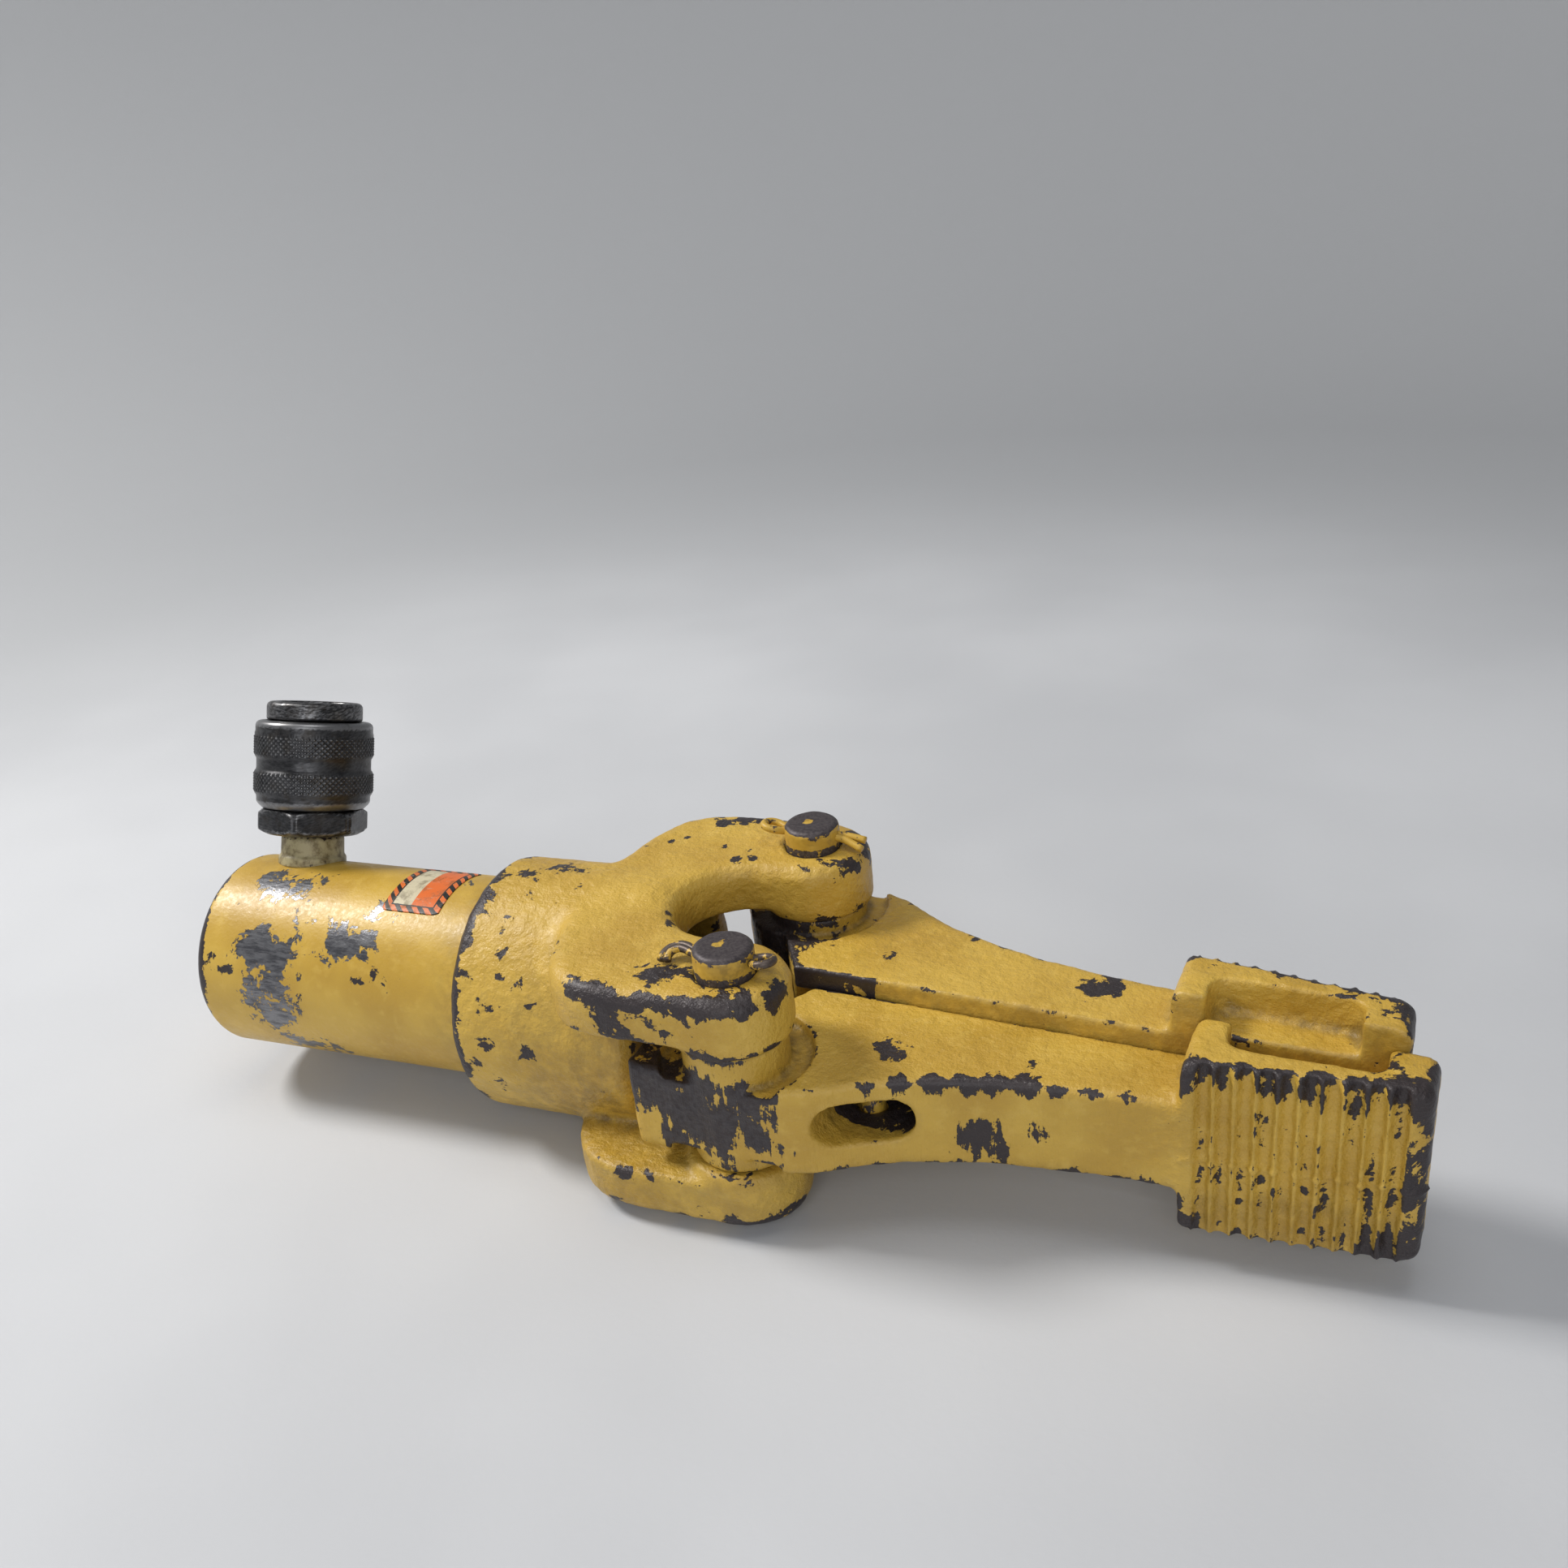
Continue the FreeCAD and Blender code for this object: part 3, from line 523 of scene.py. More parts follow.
def helix(start, end, radius, turns, per_turn, lead_in):
    """Points of a coil between two places, closing in to its axis at both ends."""
    start, end = Vector(start), Vector(end)
    axis = (end - start).normalized()
    side = axis.cross(Vector((0, 0, 1))).normalized()
    up = axis.cross(side)
    count = int(turns * per_turn)
    points = []
    for i in range(count + 1):
        t = i / count
        angle = 2 * math.pi * turns * t
        reach = radius * min(1.0, (i + 0.5) / (lead_in * per_turn * 0.5 + 1e-9))
        reach = min(reach, radius * min(1.0, (count - i + 0.5) / (lead_in * per_turn * 0.5 + 1e-9)))
        points.append(start.lerp(end, t) + side * reach * math.cos(angle) + up * reach * math.sin(angle))
    return points


# ---- finishes

ENAMEL = enamel()
BLACK_STEEL = worked_metal("blackened_steel", (0.028, 0.028, 0.030, 1), (0.085, 0.085, 0.088, 1),
                           0.33, 1.6, (1, 1, 3), 0.92, 0.02, (0.22, 0.22, 0.225, 1), 0.35)
MACHINED = worked_metal("machined_steel", (0.13, 0.125, 0.12, 1), (0.34, 0.335, 0.33, 1),
                        0.36, 0.8, (1, 0.25, 0.25), 0.95, 0.02, None, 0.3)
DARK_BLOCK = worked_metal("oiled_dark_steel", (0.016, 0.015, 0.015, 1), (0.05, 0.047, 0.045, 1),
                          0.42, 1.5, (1, 0.4, 0.4), 0.8, 0.04, None, 0.5)
CHROME = worked_metal("hard_chrome", (0.42, 0.43, 0.44, 1), (0.62, 0.63, 0.64, 1),
                      0.14, 0.5, (0.2, 1, 1), 1.0, 0.006, None, 0.08)
SPRING = worked_metal("spring_steel", (0.09, 0.085, 0.08, 1), (0.26, 0.24, 0.21, 1),
                      0.34, 0.9, (1, 1, 1), 0.9, 0.02, None, 0.3)
BRASSY = worked_metal("plated_hook_wire", (0.20, 0.12, 0.04, 1), (0.48, 0.33, 0.14, 1),
                      0.36, 0.8, (1, 1, 1), 0.85, 0.02, None, 0.35)
RUBBER = elastic("seal_rubber", (0.012, 0.012, 0.012, 1), (0.032, 0.031, 0.030, 1), 0.55, 3.0)
PLASTIC = elastic("bearing_plastic", (0.50, 0.47, 0.40, 1), (0.66, 0.63, 0.56, 1), 0.42, 4.0)
NIPPLE = nipple_finish()
PIN = pin_finish()
NEAR_WIRE = wire_finish("near_split_pin_wire", 0.42)
FAR_WIRE = wire_finish("far_split_pin_wire", 0.68)
DECAL = decal_finish()

KEPT_FINISH = {
    "gland_nut": MACHINED, "base_spring_anchor": MACHINED, "plunger_spring_anchor": MACHINED,
    "push_block": DARK_BLOCK, "coupler_poppet": MACHINED, "coupler_seat_ring": MACHINED,
    "plunger": CHROME, "piston_seal": RUBBER, "rod_wiper": RUBBER, "coupler_seal": RUBBER,
    "backup_ring": PLASTIC, "wear_ring": PLASTIC,
}
for node, finish in KEPT_FINISH.items():
    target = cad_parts[node]
    if not target.material_slots:
        target.data.materials.append(finish)
    for place in target.material_slots:
        place.material = finish


# ---- ram tube

BARREL_STEEL = on_cylinder(BARREL_RADIUS, [
    (20, 78, 5.5, 1), (27, 76, 5, 1), (32, 82, 3.5, 0.7), (22, 34, 5.5, 1.1), (29, 33, 5.5, 1.1),
    (33, 27, 3.5, 0.7), (21, 4, 5, 1), (27, -2, 5.5, 1), (30, 7, 4, 0.8), (27, -26, 4.5, 0.8),
    (34, -31, 5, 0.8), (40, -36, 4, 0.7), (49, 46, 4.5, 1), (55, 44, 4.5, 1), (44, 34, 3, 0.7),
    (52, 52, 3, 0.6), (58, 62, 3.5, 0.8), (64, 62, 3, 0.7), (80, 96, 3, 0.7), (33, 53, 1.6, 0.7),
    (38, 54, 1.6, 0.7), (18, 58, 2, 0.6), (35, 60, 2.2, 0.5), (70, 200, 6, 0.9), (60, 214, 5, 0.8),
    (44, 190, 4, 0.8), (30, 236, 6, 0.9), (82, 242, 4.5, 0.8), (24, 160, 3.5, 0.7), (52, 150, 3, 0.6),
    (66, 290, 5, 0.8), (38, 300, 5.5, 0.9), (20, 268, 3.5, 0.7)])
BARREL_DARK = on_cylinder(BARREL_RADIUS, [
    (2, 26, 3.5, 1), (1, 14, 3.5, 1), (9, 17, 2.2, 0.8), (13, 19, 2.4, 0.8), (17, 20, 2, 0.7),
    (13, 33, 2, 0.8), (57, 27, 2.2, 0.7), (62, 29, 1.8, 0.65), (67, 26, 2, 0.7), (71, 28, 1.5, 0.6),
    (32, 61, 2.2, 0.7), (33, 77, 2, 0.6), (36, 92, 2.4, 0.7), (37, 22, 1.6, 0.7), (37, 8, 1.5, 0.6),
    (46, 25, 1.5, 0.6), (52, -4, 2, 0.5), (12, 60, 1.6, 0.6), (50, 230, 3, 0.8), (20, 210, 3, 0.8),
    (76, 170, 3, 0.7)])

ram = even_mesh("cylinder_barrel", "ram_tube", 0.85)
skin = Skin(ram)
x = skin.co[:, 0]
radial = np.hypot(skin.co[:, 1], skin.co[:, 2])
skin.soften(3, 0.4)
outer = (radial > BARREL_RADIUS - 0.35) & (x > 2.0) & (x < 116.0)
skin.co[outer, 1:] *= (BARREL_RADIUS / np.hypot(skin.co[outer, 1], skin.co[outer, 2]))[:, None]
bulge = skin.convexity(14)
radial = np.hypot(skin.co[:, 1], skin.co[:, 2])
outside = ramp(radial, 27.0, 28.3)
steel_spots = blobs(skin.co, BARREL_STEEL, 1.85)
dark_spots = blobs(skin.co, BARREL_DARK, 1.9)
rear = ramp(-x, -1.4, -0.2)
edge_wear = ramp(bulge, 0.10, 0.42) * 0.5
wear = -0.26 + np.maximum(steel_spots * 1.15, dark_spots) * 0.95 * outside + edge_wear * ramp(-x, -5, -2)
wear += rear * 0.12 + 0.55 * np.exp(-((x - 0.9) / 0.9) ** 2) * outside
# dirt_and_shade: darker next to the collar, towards the bottom and at the rear face, dirt around the port's
# foot, and painted shade in the hollows.
dirt_and_shade = 0.45 * ramp(x, 76, 91) * outside + 0.3 * ramp(-skin.co[:, 2], 8, 26) * outside
dirt_and_shade += 0.5 * np.exp(-((skin.co - PORT_FOOT) ** 2).sum(1) / 13.0 ** 2)
dirt_and_shade += ramp(-bulge, 0.1, 0.5) * 0.6 + rear * 0.25
bright = np.clip(1.6 * steel_spots - 0.6 * dark_spots, 0, 1) * outside
skin.save(wear, steel=bright, grime=dirt_and_shade, ground=0.0, smooth=1.0)
finish_piece(ram, "tool", "barrel_enamel", ENAMEL, "cylinder_barrel")


# ---- fork head

COLLAR_CHIPS = on_cylinder(COLLAR_RADIUS, [
    (94, 89, 2.6, 1), (94, 68, 2.6, 1), (93, 57, 2.4, 1), (93, 49, 2, 0.9), (92, 38, 1.8, 0.8),
    (93, 27, 2, 0.8), (93, 16, 2.4, 0.9), (92, 3, 2.6, 1), (93, -10, 2.2, 0.9), (92, -30, 2.2, 0.8),
    (93, 112, 2.6, 1), (94, 130, 2.4, 0.9), (101, 92, 2.6, 0.9), (110, 101, 2.4, 0.8), (116, 99, 2.2, 0.8),
    (115, 73, 1.8, 0.7), (120, 84, 1.8, 0.7), (107, 75, 1.6, 0.65), (105, 56, 2, 0.8), (102, 50, 1.6, 0.6),
    (106, 45, 2, 0.7), (96, 36, 1.6, 0.7), (107, 36, 1.6, 0.7), (113, 33, 1.6, 0.6), (109, 21, 1.6, 0.6),
    (116, 24, 1.6, 0.6), (99, -7, 2, 0.8), (103, -14, 2, 0.8), (101, -25, 2, 0.8), (114, 2, 2.8, 0.9),
    (103, 22, 1.8, 0.7), (101, 7, 2, 0.8), (100, 150, 3, 0.9), (108, 168, 2.6, 0.8), (98, 190, 3, 0.9),
    (112, 206, 3, 0.9), (104, 226, 2.6, 0.8), (96, 250, 2.6, 0.9), (110, 268, 3, 0.9), (100, 300, 2.8, 0.8)])
ARM_CHIPS = [
    (158, -38, 34.1, 4.4, 1.15), (163, -36, 34.1, 3, 1), (154, -43, 33, 2.4, 0.7),
    (140, -46, 31.5, 3, 0.95), (145, -47.5, 31.5, 3.4, 1), (151, -47.6, 31, 3.4, 1), (157, -48, 31, 3.2, 1),
    (163, -48, 31.5, 3, 1), (169, -48, 31.8, 3, 0.95), (175, -48, 32, 2.4, 0.8), (149, -48, 27, 4.6, 1.2),
    (153, -48, 22.5, 3.4, 1.05), (162, -48, 27, 2, 0.6), (184, -44, 33, 2.6, 0.8), (189, -36, 30, 2.6, 0.7),
    (187, -40, 20, 2, 0.6), (172, -48, 18.5, 3, 1.05), (180, -46, 17, 2.4, 0.8), (186, -40, 17, 2.2, 0.7),
    (190, -30, 17, 2.4, 0.8), (188, -24, 28, 2.2, 0.6), (150, -48, -17, 2.6, 0.9), (155, -48, -18, 2, 0.7),
    (146, -47, -22, 2, 0.7), (175, -47.8, -31, 2.6, 0.8), (183, -45, -31, 3, 0.9),
    (188, -38, -31, 2.6, 0.8), (166, -48, -30, 2.4, 0.7), (160, -48, -33, 2.4, 0.8),
    (142, -46, -33, 2.4, 0.8), (150, 46, 33, 3, 0.9), (158, 47.6, 32.5, 3.4, 1), (166, 48, 32.5, 3, 0.9),
    (143, 44, 33, 2.6, 0.8), (136, 38, 32, 2.4, 0.7), (186, 42, 32, 3, 0.9), (189.6, 34, 30, 3, 0.9),
    (189, 26, 32, 2.4, 0.8), (186, 22, 27, 1.8, 0.7), (180, 17, 24, 1.8, 0.6), (188, 26, 20, 2, 0.7),
    (183, 18, 17, 2.2, 0.8), (176, 40, 34.1, 1.8, 0.6), (183, 36, 34.1, 1.8, 0.6), (128, 28, 33, 1.6, 0.6),
    (155, 48, -30, 3.4, 1), (170, 48, 26, 3, 0.9), (178, 46, -22, 3, 0.9), (140, -20, 36, 1.6, 0.5),
    (132, 10, 35, 1.6, 0.6), (130, -16, 33, 1.8, 0.6), (145, 40, 34, 2.4, 1.2), (150, 43, 34, 2.6, 1.25),
    (155, 45, 34, 2.6, 1.25), (160, 45.5, 34, 2.2, 1.1), (184, 40, 34, 2.4, 1.1), (187, 36, 33.6, 2.4, 1.1),
    (150, -2, 34, 1.7, 1.1), (151, 4, 34, 1.5, 1.1), (154, 9, 34, 1.3, 1), (158, 13, 34, 1.2, 1),
    (149, -8, 34, 1.5, 1), (152, -13, 34, 1.5, 1), (156, 20, 34.1, 1.5, 1.1), (160, 22, 34.1, 1.5, 1.1),
    (158, 26, 34.1, 1.3, 1), (150, 27, 34.1, 1.2, 1), (137, 30, 33, 1.3, 1), (133, 27, 33, 1.3, 1),
    (168, -46.4, 33, 2, 1.15), (173, -46.4, 32.6, 2.6, 1.2), (178, -45.6, 32.4, 2, 1.1),
    (183, -42.6, 32.4, 1.8, 1), (137, -43, 29, 2, 1.1), (136, -42, 25, 1.6, 1.1), (189, -38, 30, 2.4, 1.1),
    (163, -47.8, 24.5, 1.3, 0.9), (160, -47.8, 27, 2.2, 1), (172, -47.6, 27, 1.3, 0.9),
    (174, -47.6, 30, 1.6, 1)]

head = even_mesh("spreader_head", "fork_head_casting", 0.82)
skin = Skin(head)
x, y, z = skin.co.T
radial = np.hypot(y, z)
in_bore = (radial < 30.2) & (x < 119.5)
near_pin = (np.hypot(x - PIVOT_X, np.abs(y) - PIVOT_Y) < 9.5)
in_slot = (np.abs(z) < 16.4) & (x > 127)
plain = ~(in_bore | near_pin | in_slot)
loose = np.where(in_bore | near_pin, 0.12, np.where(in_slot, 0.25, 0.5))
skin.soften(7, loose)
flare = ramp(x, 104, 112) * ramp(-x, -160, -148) * plain
skin.fill(40, 0.5 * flare)
skin.soften(4, 0.4 * flare)
skin.roughen(6.0, 0.26, plain, 3.1)
skin.roughen(2.2, 0.12, plain, 7.7)
bulge = skin.convexity(26)
x, y, z = skin.co.T
radial = np.hypot(y, z)
spots = np.maximum(blobs(skin.co, COLLAR_CHIPS, 2.1), blobs(skin.co, ARM_CHIPS, 1.5))
# A dark ring at the collar's rear edge: chipped paint, and painted shade where the barrel meets the collar.
rim = np.exp(-((x - 91.2) / 1.3) ** 2) * ramp(radial, 30.5, 33.0)
wear = -0.20 + spots * 0.92 + ramp(bulge, 0.20, 0.85) * 0.42 + rim * 0.75
wear += ramp(-z, 30, 34) * 0.18
wear += 0.15 * in_slot
# Painted shade in hollows and inside the bore and slot, darker towards the bottom and on the near side of
# the neck.
dirt_and_shade = ramp(-bulge, 0.12, 0.75) * 0.75 + 0.35 * ramp(-z, -2, 26) + 0.5 * (in_bore | in_slot)
dirt_and_shade += 0.35 * ramp(x, 100, 116) * ramp(-x, -134, -122) * ramp(-y, 10, 34)
skin.save(wear, steel=0.0, grime=dirt_and_shade, ground=0.0, smooth=0.0)
finish_piece(head, "tool", "casting_enamel", ENAMEL, "spreader_head")


# ---- jaws

def jaw_frame(side):
    """The casting's own frame in millimetres; the far one is the same casting rolled over."""
    pivot = Matrix.Translation((PIVOT_X, SIDES[side] * PIVOT_Y, 0))
    matrix = pivot @ Matrix.Rotation(JAW_TILT, 4, "Z")
    if side == "far":
        matrix = matrix @ Matrix.Rotation(math.pi, 4, "X")
    return matrix


# worn spots in the casting's own frame: along, across (outer side negative), height
JAW_CHIPS = {
    "near": [
        (-22, -7, 8, 5, 1), (-20, -7, 2, 5, 1), (-16, -12, 5, 5.5, 1), (-10, -12.5, 0, 5.5, 1.05),
        (-6, -12.5, 6, 4.5, 0.9), (-2, -12.5, -6, 5, 1), (3, -12.5, -1, 4.5, 0.95), (8, -12.6, 6, 3.4, 0.8),
        (10, -12.6, -5, 3.4, 0.8), (-14, -12.5, -10, 3.6, 0.8), (15, -11.8, 3, 3, 0.7),
        (17, -11, -8, 2.4, 0.7), (60, 7, -6, 4.8, 1.15), (64, 8, -9, 3.6, 1), (73, 9.4, -4, 2.6, 0.85),
        (70, 9, -8, 2, 0.8), (54, 5, -12, 2.4, 0.7), (82, 11, -13, 2.4, 0.7), (43, 1, 9.8, 3, 1.1),
        (50, 4, 9.8, 3.2, 1.2), (57, 6, 9.8, 3.4, 1.2), (64, 8, 9.6, 3.2, 1.2), (71, 9.5, 9.6, 3, 1.1),
        (78, 10.5, 9.8, 2.2, 0.95), (86, 11.6, 9.8, 2.4, 0.8), (94, 12, 9.6, 2.2, 0.7),
        (36, -2, 9.4, 2.4, 0.8), (37, 12, 10.1, 3.8, 1.15), (70, 17, 10.1, 1.4, 0.6),
        (84, 20, 10.1, 1.6, 0.5), (106, 13, 21, 3.2, 1), (112, 13.6, 21.3, 3, 0.95),
        (119, 14, 21.3, 2.6, 0.9), (126, 15, 21.3, 2.6, 0.9), (134, 15.8, 21.3, 2.6, 0.9),
        (142, 16.4, 21.3, 2.8, 0.95), (150, 17.6, 21, 4.2, 1.1), (155, 20, 19, 4.2, 1.1),
        (156, 20, 12, 3, 0.9), (156, 18, 4, 3.4, 1), (156, 18, -3, 3.2, 1), (156, 18, -10, 3.4, 1),
        (155, 18, -17, 3.6, 1.05), (155, 19, -23, 5, 1.2), (151, 18, -25.5, 4.4, 1.1),
        (126, 15, 17, 2.4, 0.9), (134, 15.8, 16, 2.2, 0.85), (142, 16.4, 15, 2.4, 0.9),
        (106, 12.8, -25, 2.8, 0.9), (105, 13, 16, 2.4, 0.8), (156.5, 26, 20, 3, 0.9),
        (104, 13, -18, 2, 0.7), (150, 24, 21.5, 2, 0.8), (104, 13, 5, 2, 0.6), (30, -7, -14.6, 2.6, 0.8),
        (38, -3, -14.8, 2.4, 0.8), (92, 12, -14.8, 2.6, 0.8), (99, 12.4, -14.8, 2.6, 0.9),
        (48, 3, -15, 2, 0.6)],
    "far": [
        (60, 22, -15.1, 2.2, 0.7), (85, 19, -15.1, 3.6, 1.2), (88, 17, -15.1, 3, 1.1),
        (30, 20, -15.1, 2, 0.9), (48, 6, -15, 2, 0.8), (56, 8, -15, 1.8, 0.7), (66, 10, -15, 1.8, 0.7),
        (94, 13, -15, 2, 0.7), (88, 14, -15, 1.6, 0.6), (120, 15, -26.4, 2.6, 0.9),
        (128, 16, -26.4, 2.8, 0.95), (136, 16, -26.4, 3, 0.95), (144, 17, -26.4, 3.2, 1),
        (152, 18, -26, 4.6, 1.1), (155.5, 22, -24, 4.4, 1.1), (156.5, 24, -16, 3.4, 1),
        (151, 26, -26.4, 2.4, 0.8), (107, 14, -26, 2.2, 0.8), (112, 19, -26.4, 1.6, 0.7),
        (-14, -12, 2, 5, 1), (-5, -12.4, -4, 5, 1), (6, -12.5, 5, 5, 0.9), (60, 7, 3, 4.2, 1),
        (72, 9, -8, 3.4, 0.9), (86, 11, 6, 3, 0.9), (106, 12.8, 20, 3.2, 1), (150, 17.6, 20, 4.2, 1.1),
        (156, 20, 2, 3, 0.9), (-8, 8, -15, 7, 0.9), (4, 20, -15, 7, 0.9)]}

TOOTH_START = 107.9
TOOTH_PITCH = 4.47
TOOTH_COUNT = 10
TOOTH_DEPTH = 2.0
MID_DROP = 2.5  # the arm and the tip are centred this far below the pivot's origin


class JawCasting:
    """One jaw's visible casting, worked on in the casting's own frame."""

    def __init__(self, side):
        self.side = side
        matrix = jaw_frame(side)
        self.across = np.array(matrix.to_3x3())[:, 1]
        self.inverse = np.array(matrix.inverted())
        self.piece = even_mesh("jaw_" + side, side + "_jaw_casting", 0.66)
        self.skin = Skin(self.piece)
        place = self.own()
        self.x, self.y = place[:, 0], place[:, 1]
        self.mid = place[:, 2] + MID_DROP
        level = np.abs(self.mid)
        centre = np.hypot(self.x, self.y)
        self.firm = (centre < 9.0) | ((centre < 21.0) & (level > 9.0))
        self.mating = self.y > 31.2
        self.phase = (self.x - TOOTH_START) / TOOTH_PITCH
        self.teeth = (self.phase > 0) & (self.phase < TOOTH_COUNT) & (self.y < 20) & (level < 24.2)

    def own(self):
        return self.skin.co @ self.inverse[:3, :3].T + self.inverse[:3, 3]

    def normals(self):
        return self.skin.normals() @ self.inverse[:3, :3].T

    def soften(self):
        """Round the casting's edges and fillets, but keep its bore, bosses and teeth."""
        x, y, level = self.x, self.y, np.abs(self.mid)
        grooved = (x > 106.5) & (x < 153.5) & (y < 19.5) & (level < 24.5)
        weight = np.where(self.mating, 0.3, np.where(grooved, 0.06, 0.5))
        self.skin.soften(6, np.where(self.firm, 0.12, weight))
        shoulder = ramp(x, 96, 101) * ramp(-x, -124, -112) * ~grooved
        self.skin.fill(55, 0.5 * shoulder)
        pocket = (x > 111) & (x < 149) & (y > 21) & (level > 10)
        self.skin.fill(15, 0.5 * pocket)
        self.skin.fill(20, 0.45 * ((x > 30) & (x < 100) & ~self.mating))

    def cut_teeth(self):
        """Deepen the rounded teeth of the gripping face, out through its two long edges."""
        wave = self.phase + 0.09 * np.sin(2 * math.pi * self.phase)
        valley = (0.5 - 0.5 * np.cos(2 * math.pi * wave)) ** 0.85 * TOOTH_DEPTH
        face = 12.6 + (self.x - 105.0) * 0.11
        facing = ramp(-self.normals()[:, 1], 0.25, 0.65) * self.teeth
        facing *= ramp(-np.abs(self.mid), -24.2, -23.0)
        flattened = np.maximum(face + valley, face + (self.y - face) * 0.25)
        sunk = np.where(self.y < face + 3.4, flattened, self.y)
        self.skin.co += self.across * ((sunk - self.y) * facing)[:, None]

    def add_mould_line(self):
        """A low ridge across the teeth, a little off the middle of the tip."""
        line = -3.0 if self.side == "near" else 1.0
        height = self.mid - line - 0.5 * np.sin(self.x * 0.6)
        outer = (self.x > 105) * (self.normals()[:, 1] < -0.2)
        self.ridge = np.exp(-(height / 0.7) ** 2) * outer
        self.skin.co += self.skin.normals() * (0.55 * self.ridge)[:, None]

    def roughen(self):
        cast = ~(self.firm | self.mating)
        coarse_seed, fine_seed = (11.0, 5.0) if self.side == "near" else (23.0, 9.0)
        self.skin.roughen(6.0, 0.24, cast, coarse_seed)
        self.skin.roughen(2.1, 0.13, cast, fine_seed)

    def weather(self):
        """Chips, rubbed edges, dirt and painted shade."""
        bulge = self.skin.convexity(24)
        place = self.own()
        x, y = place[:, 0], place[:, 1]
        mid = place[:, 2] + MID_DROP
        level, centre = np.abs(mid), np.hypot(x, y)
        normal = self.normals()
        outward = ramp(-normal[:, 1], 0.55, 0.85)
        ground = outward * ramp(-x, -104, -98)
        root_face = outward * ramp(-x, -26, -12)
        wear = -0.22 + blobs(place, JAW_CHIPS[self.side], 1.5) * 0.98
        wear += ramp(bulge, 0.2, 0.8) * 0.40 + 0.34 * root_face * ramp(mid, -12.5, -4.0)
        valley = self.teeth * (0.5 - 0.5 * np.cos(2 * math.pi * (self.phase + 0.12)))
        valley *= ramp(-normal[:, 1], 0.2, 0.5)
        wear += valley * (0.47 + 0.22 * ramp(-mid, -2, 14)) - 0.15 * self.ridge
        wear += 0.34 * ramp(normal[:, 0], 0.6, 0.9) * (x > 150) + 0.18 * self.mating
        wear += 0.25 * (centre < 20.5) * (level < 13.2) * (level > 9.0)
        wear += 0.75 * (self.mating & (x < 30)) + 0.7 * ramp(-x, -3, 6) * ramp(y, 2, 8)
        beside = np.hypot(np.maximum(np.abs(x - 34.3) - 5.2, 0), mid - 1.1)
        window = ramp(-beside, -8.2, -6.4) * (y < 31)
        wear += 1.1 * window * ramp(y, 0.5, 5.0) * (np.abs(normal[:, 1]) < 0.6)
        # Painted shade in hollows (less in the teeth), between the jaws and inside the window; the near jaw
        # is darker towards the bottom.
        dirt_and_shade = ramp(-bulge, 0.10, 0.6) * (0.8 - 0.7 * self.teeth) + 0.5 * self.mating
        dirt_and_shade += 0.3 * window * ramp(y, -6, 4) + 0.3 * ramp(-mid, 8, 13) * (self.side == "near")
        self.skin.save(wear, steel=root_face * 0.12, grime=dirt_and_shade, ground=ground,
                       smooth=0.6 * self.mating + ground * 0.5)


for side in SIDES:
    casting = JawCasting(side)
    casting.soften()
    casting.cut_teeth()
    casting.add_mould_line()
    casting.roughen()
    casting.weather()
    finish_piece(casting.piece, side + "_jaw", "casting_enamel", ENAMEL, "jaw_" + side)


# ---- pivot pins and split pins

PIN_PROFILE = [(-36.7, 0.4), (-36.7, 9.0), (-35.8, 10.0), (-34.3, 10.0), (-34.15, 7.6), (0, 7.6),
               (35.0, 7.6), (39.9, 7.6), (40.9, 6.6), (40.9, 3.0), (40.85, 0.3)]


def make_pin(side):
    sign = SIDES[side]
    matrix = Matrix.Translation((PIVOT_X, sign * PIVOT_Y, 0))
    heights, radii = [], []
    for (z0, r0), (z1, r1) in zip(PIN_PROFILE, PIN_PROFILE[1:]):
        count = max(2, int(math.hypot(z1 - z0, r1 - r0) / 0.55))
        for i in range(count):
            t = i / count
            heights.append(z0 + (z1 - z0) * t)
            radii.append(r0 + (r1 - r0) * t)
    heights.append(PIN_PROFILE[-1][0])
    radii.append(PIN_PROFILE[-1][1])
    piece = lathe("pivot_pin_%s_worn" % side, lambda angles, row: radii[row], heights, 96, matrix,
                  False)
    skin = Skin(piece)
    skin.soften(3, 0.35)
    skin.roughen(3.0, 0.10, skin.co[:, 2] > 36, 2.0 + sign)
    x, y, z = skin.co.T
    bulge = skin.convexity(8)
    wear = np.where(z > 40.2, 0.85, 0.05) + 0.35 * ramp(bulge, 0.05, 0.3)
    wear = np.where(z < 33.5, 0.95, wear) - 0.15 * ramp(-z, 34.3, 35)
    wear += 0.55 * ramp(-z, -36.6, -35.4) * (z > 33.5)
    fleck = np.exp(-((x - PIVOT_X + 1.0) ** 2 + (y - sign * PIVOT_Y) ** 2) / 2.2)
    skin.save(wear - 0.75 * fleck * (z > 40.2))
    finish_piece(piece, "tool", "pin_steel", PIN, "pivot_pin_" + side)


for side in SIDES:
    make_pin(side)


def split_pin(side, path, material):
    """One wire: out along a leg, round the eye and back along the other leg."""
    sign = SIDES[side]
    points = [(PIVOT_X + px, sign * PIVOT_Y + py, SPLIT_PIN_Z + pz) for px, py, pz in path]
    piece = wire("split_pin_" + side, points, 1.05, 8)
    finish_piece(piece, "tool", "cotter_steel", material, "cotter_pin_" + side)


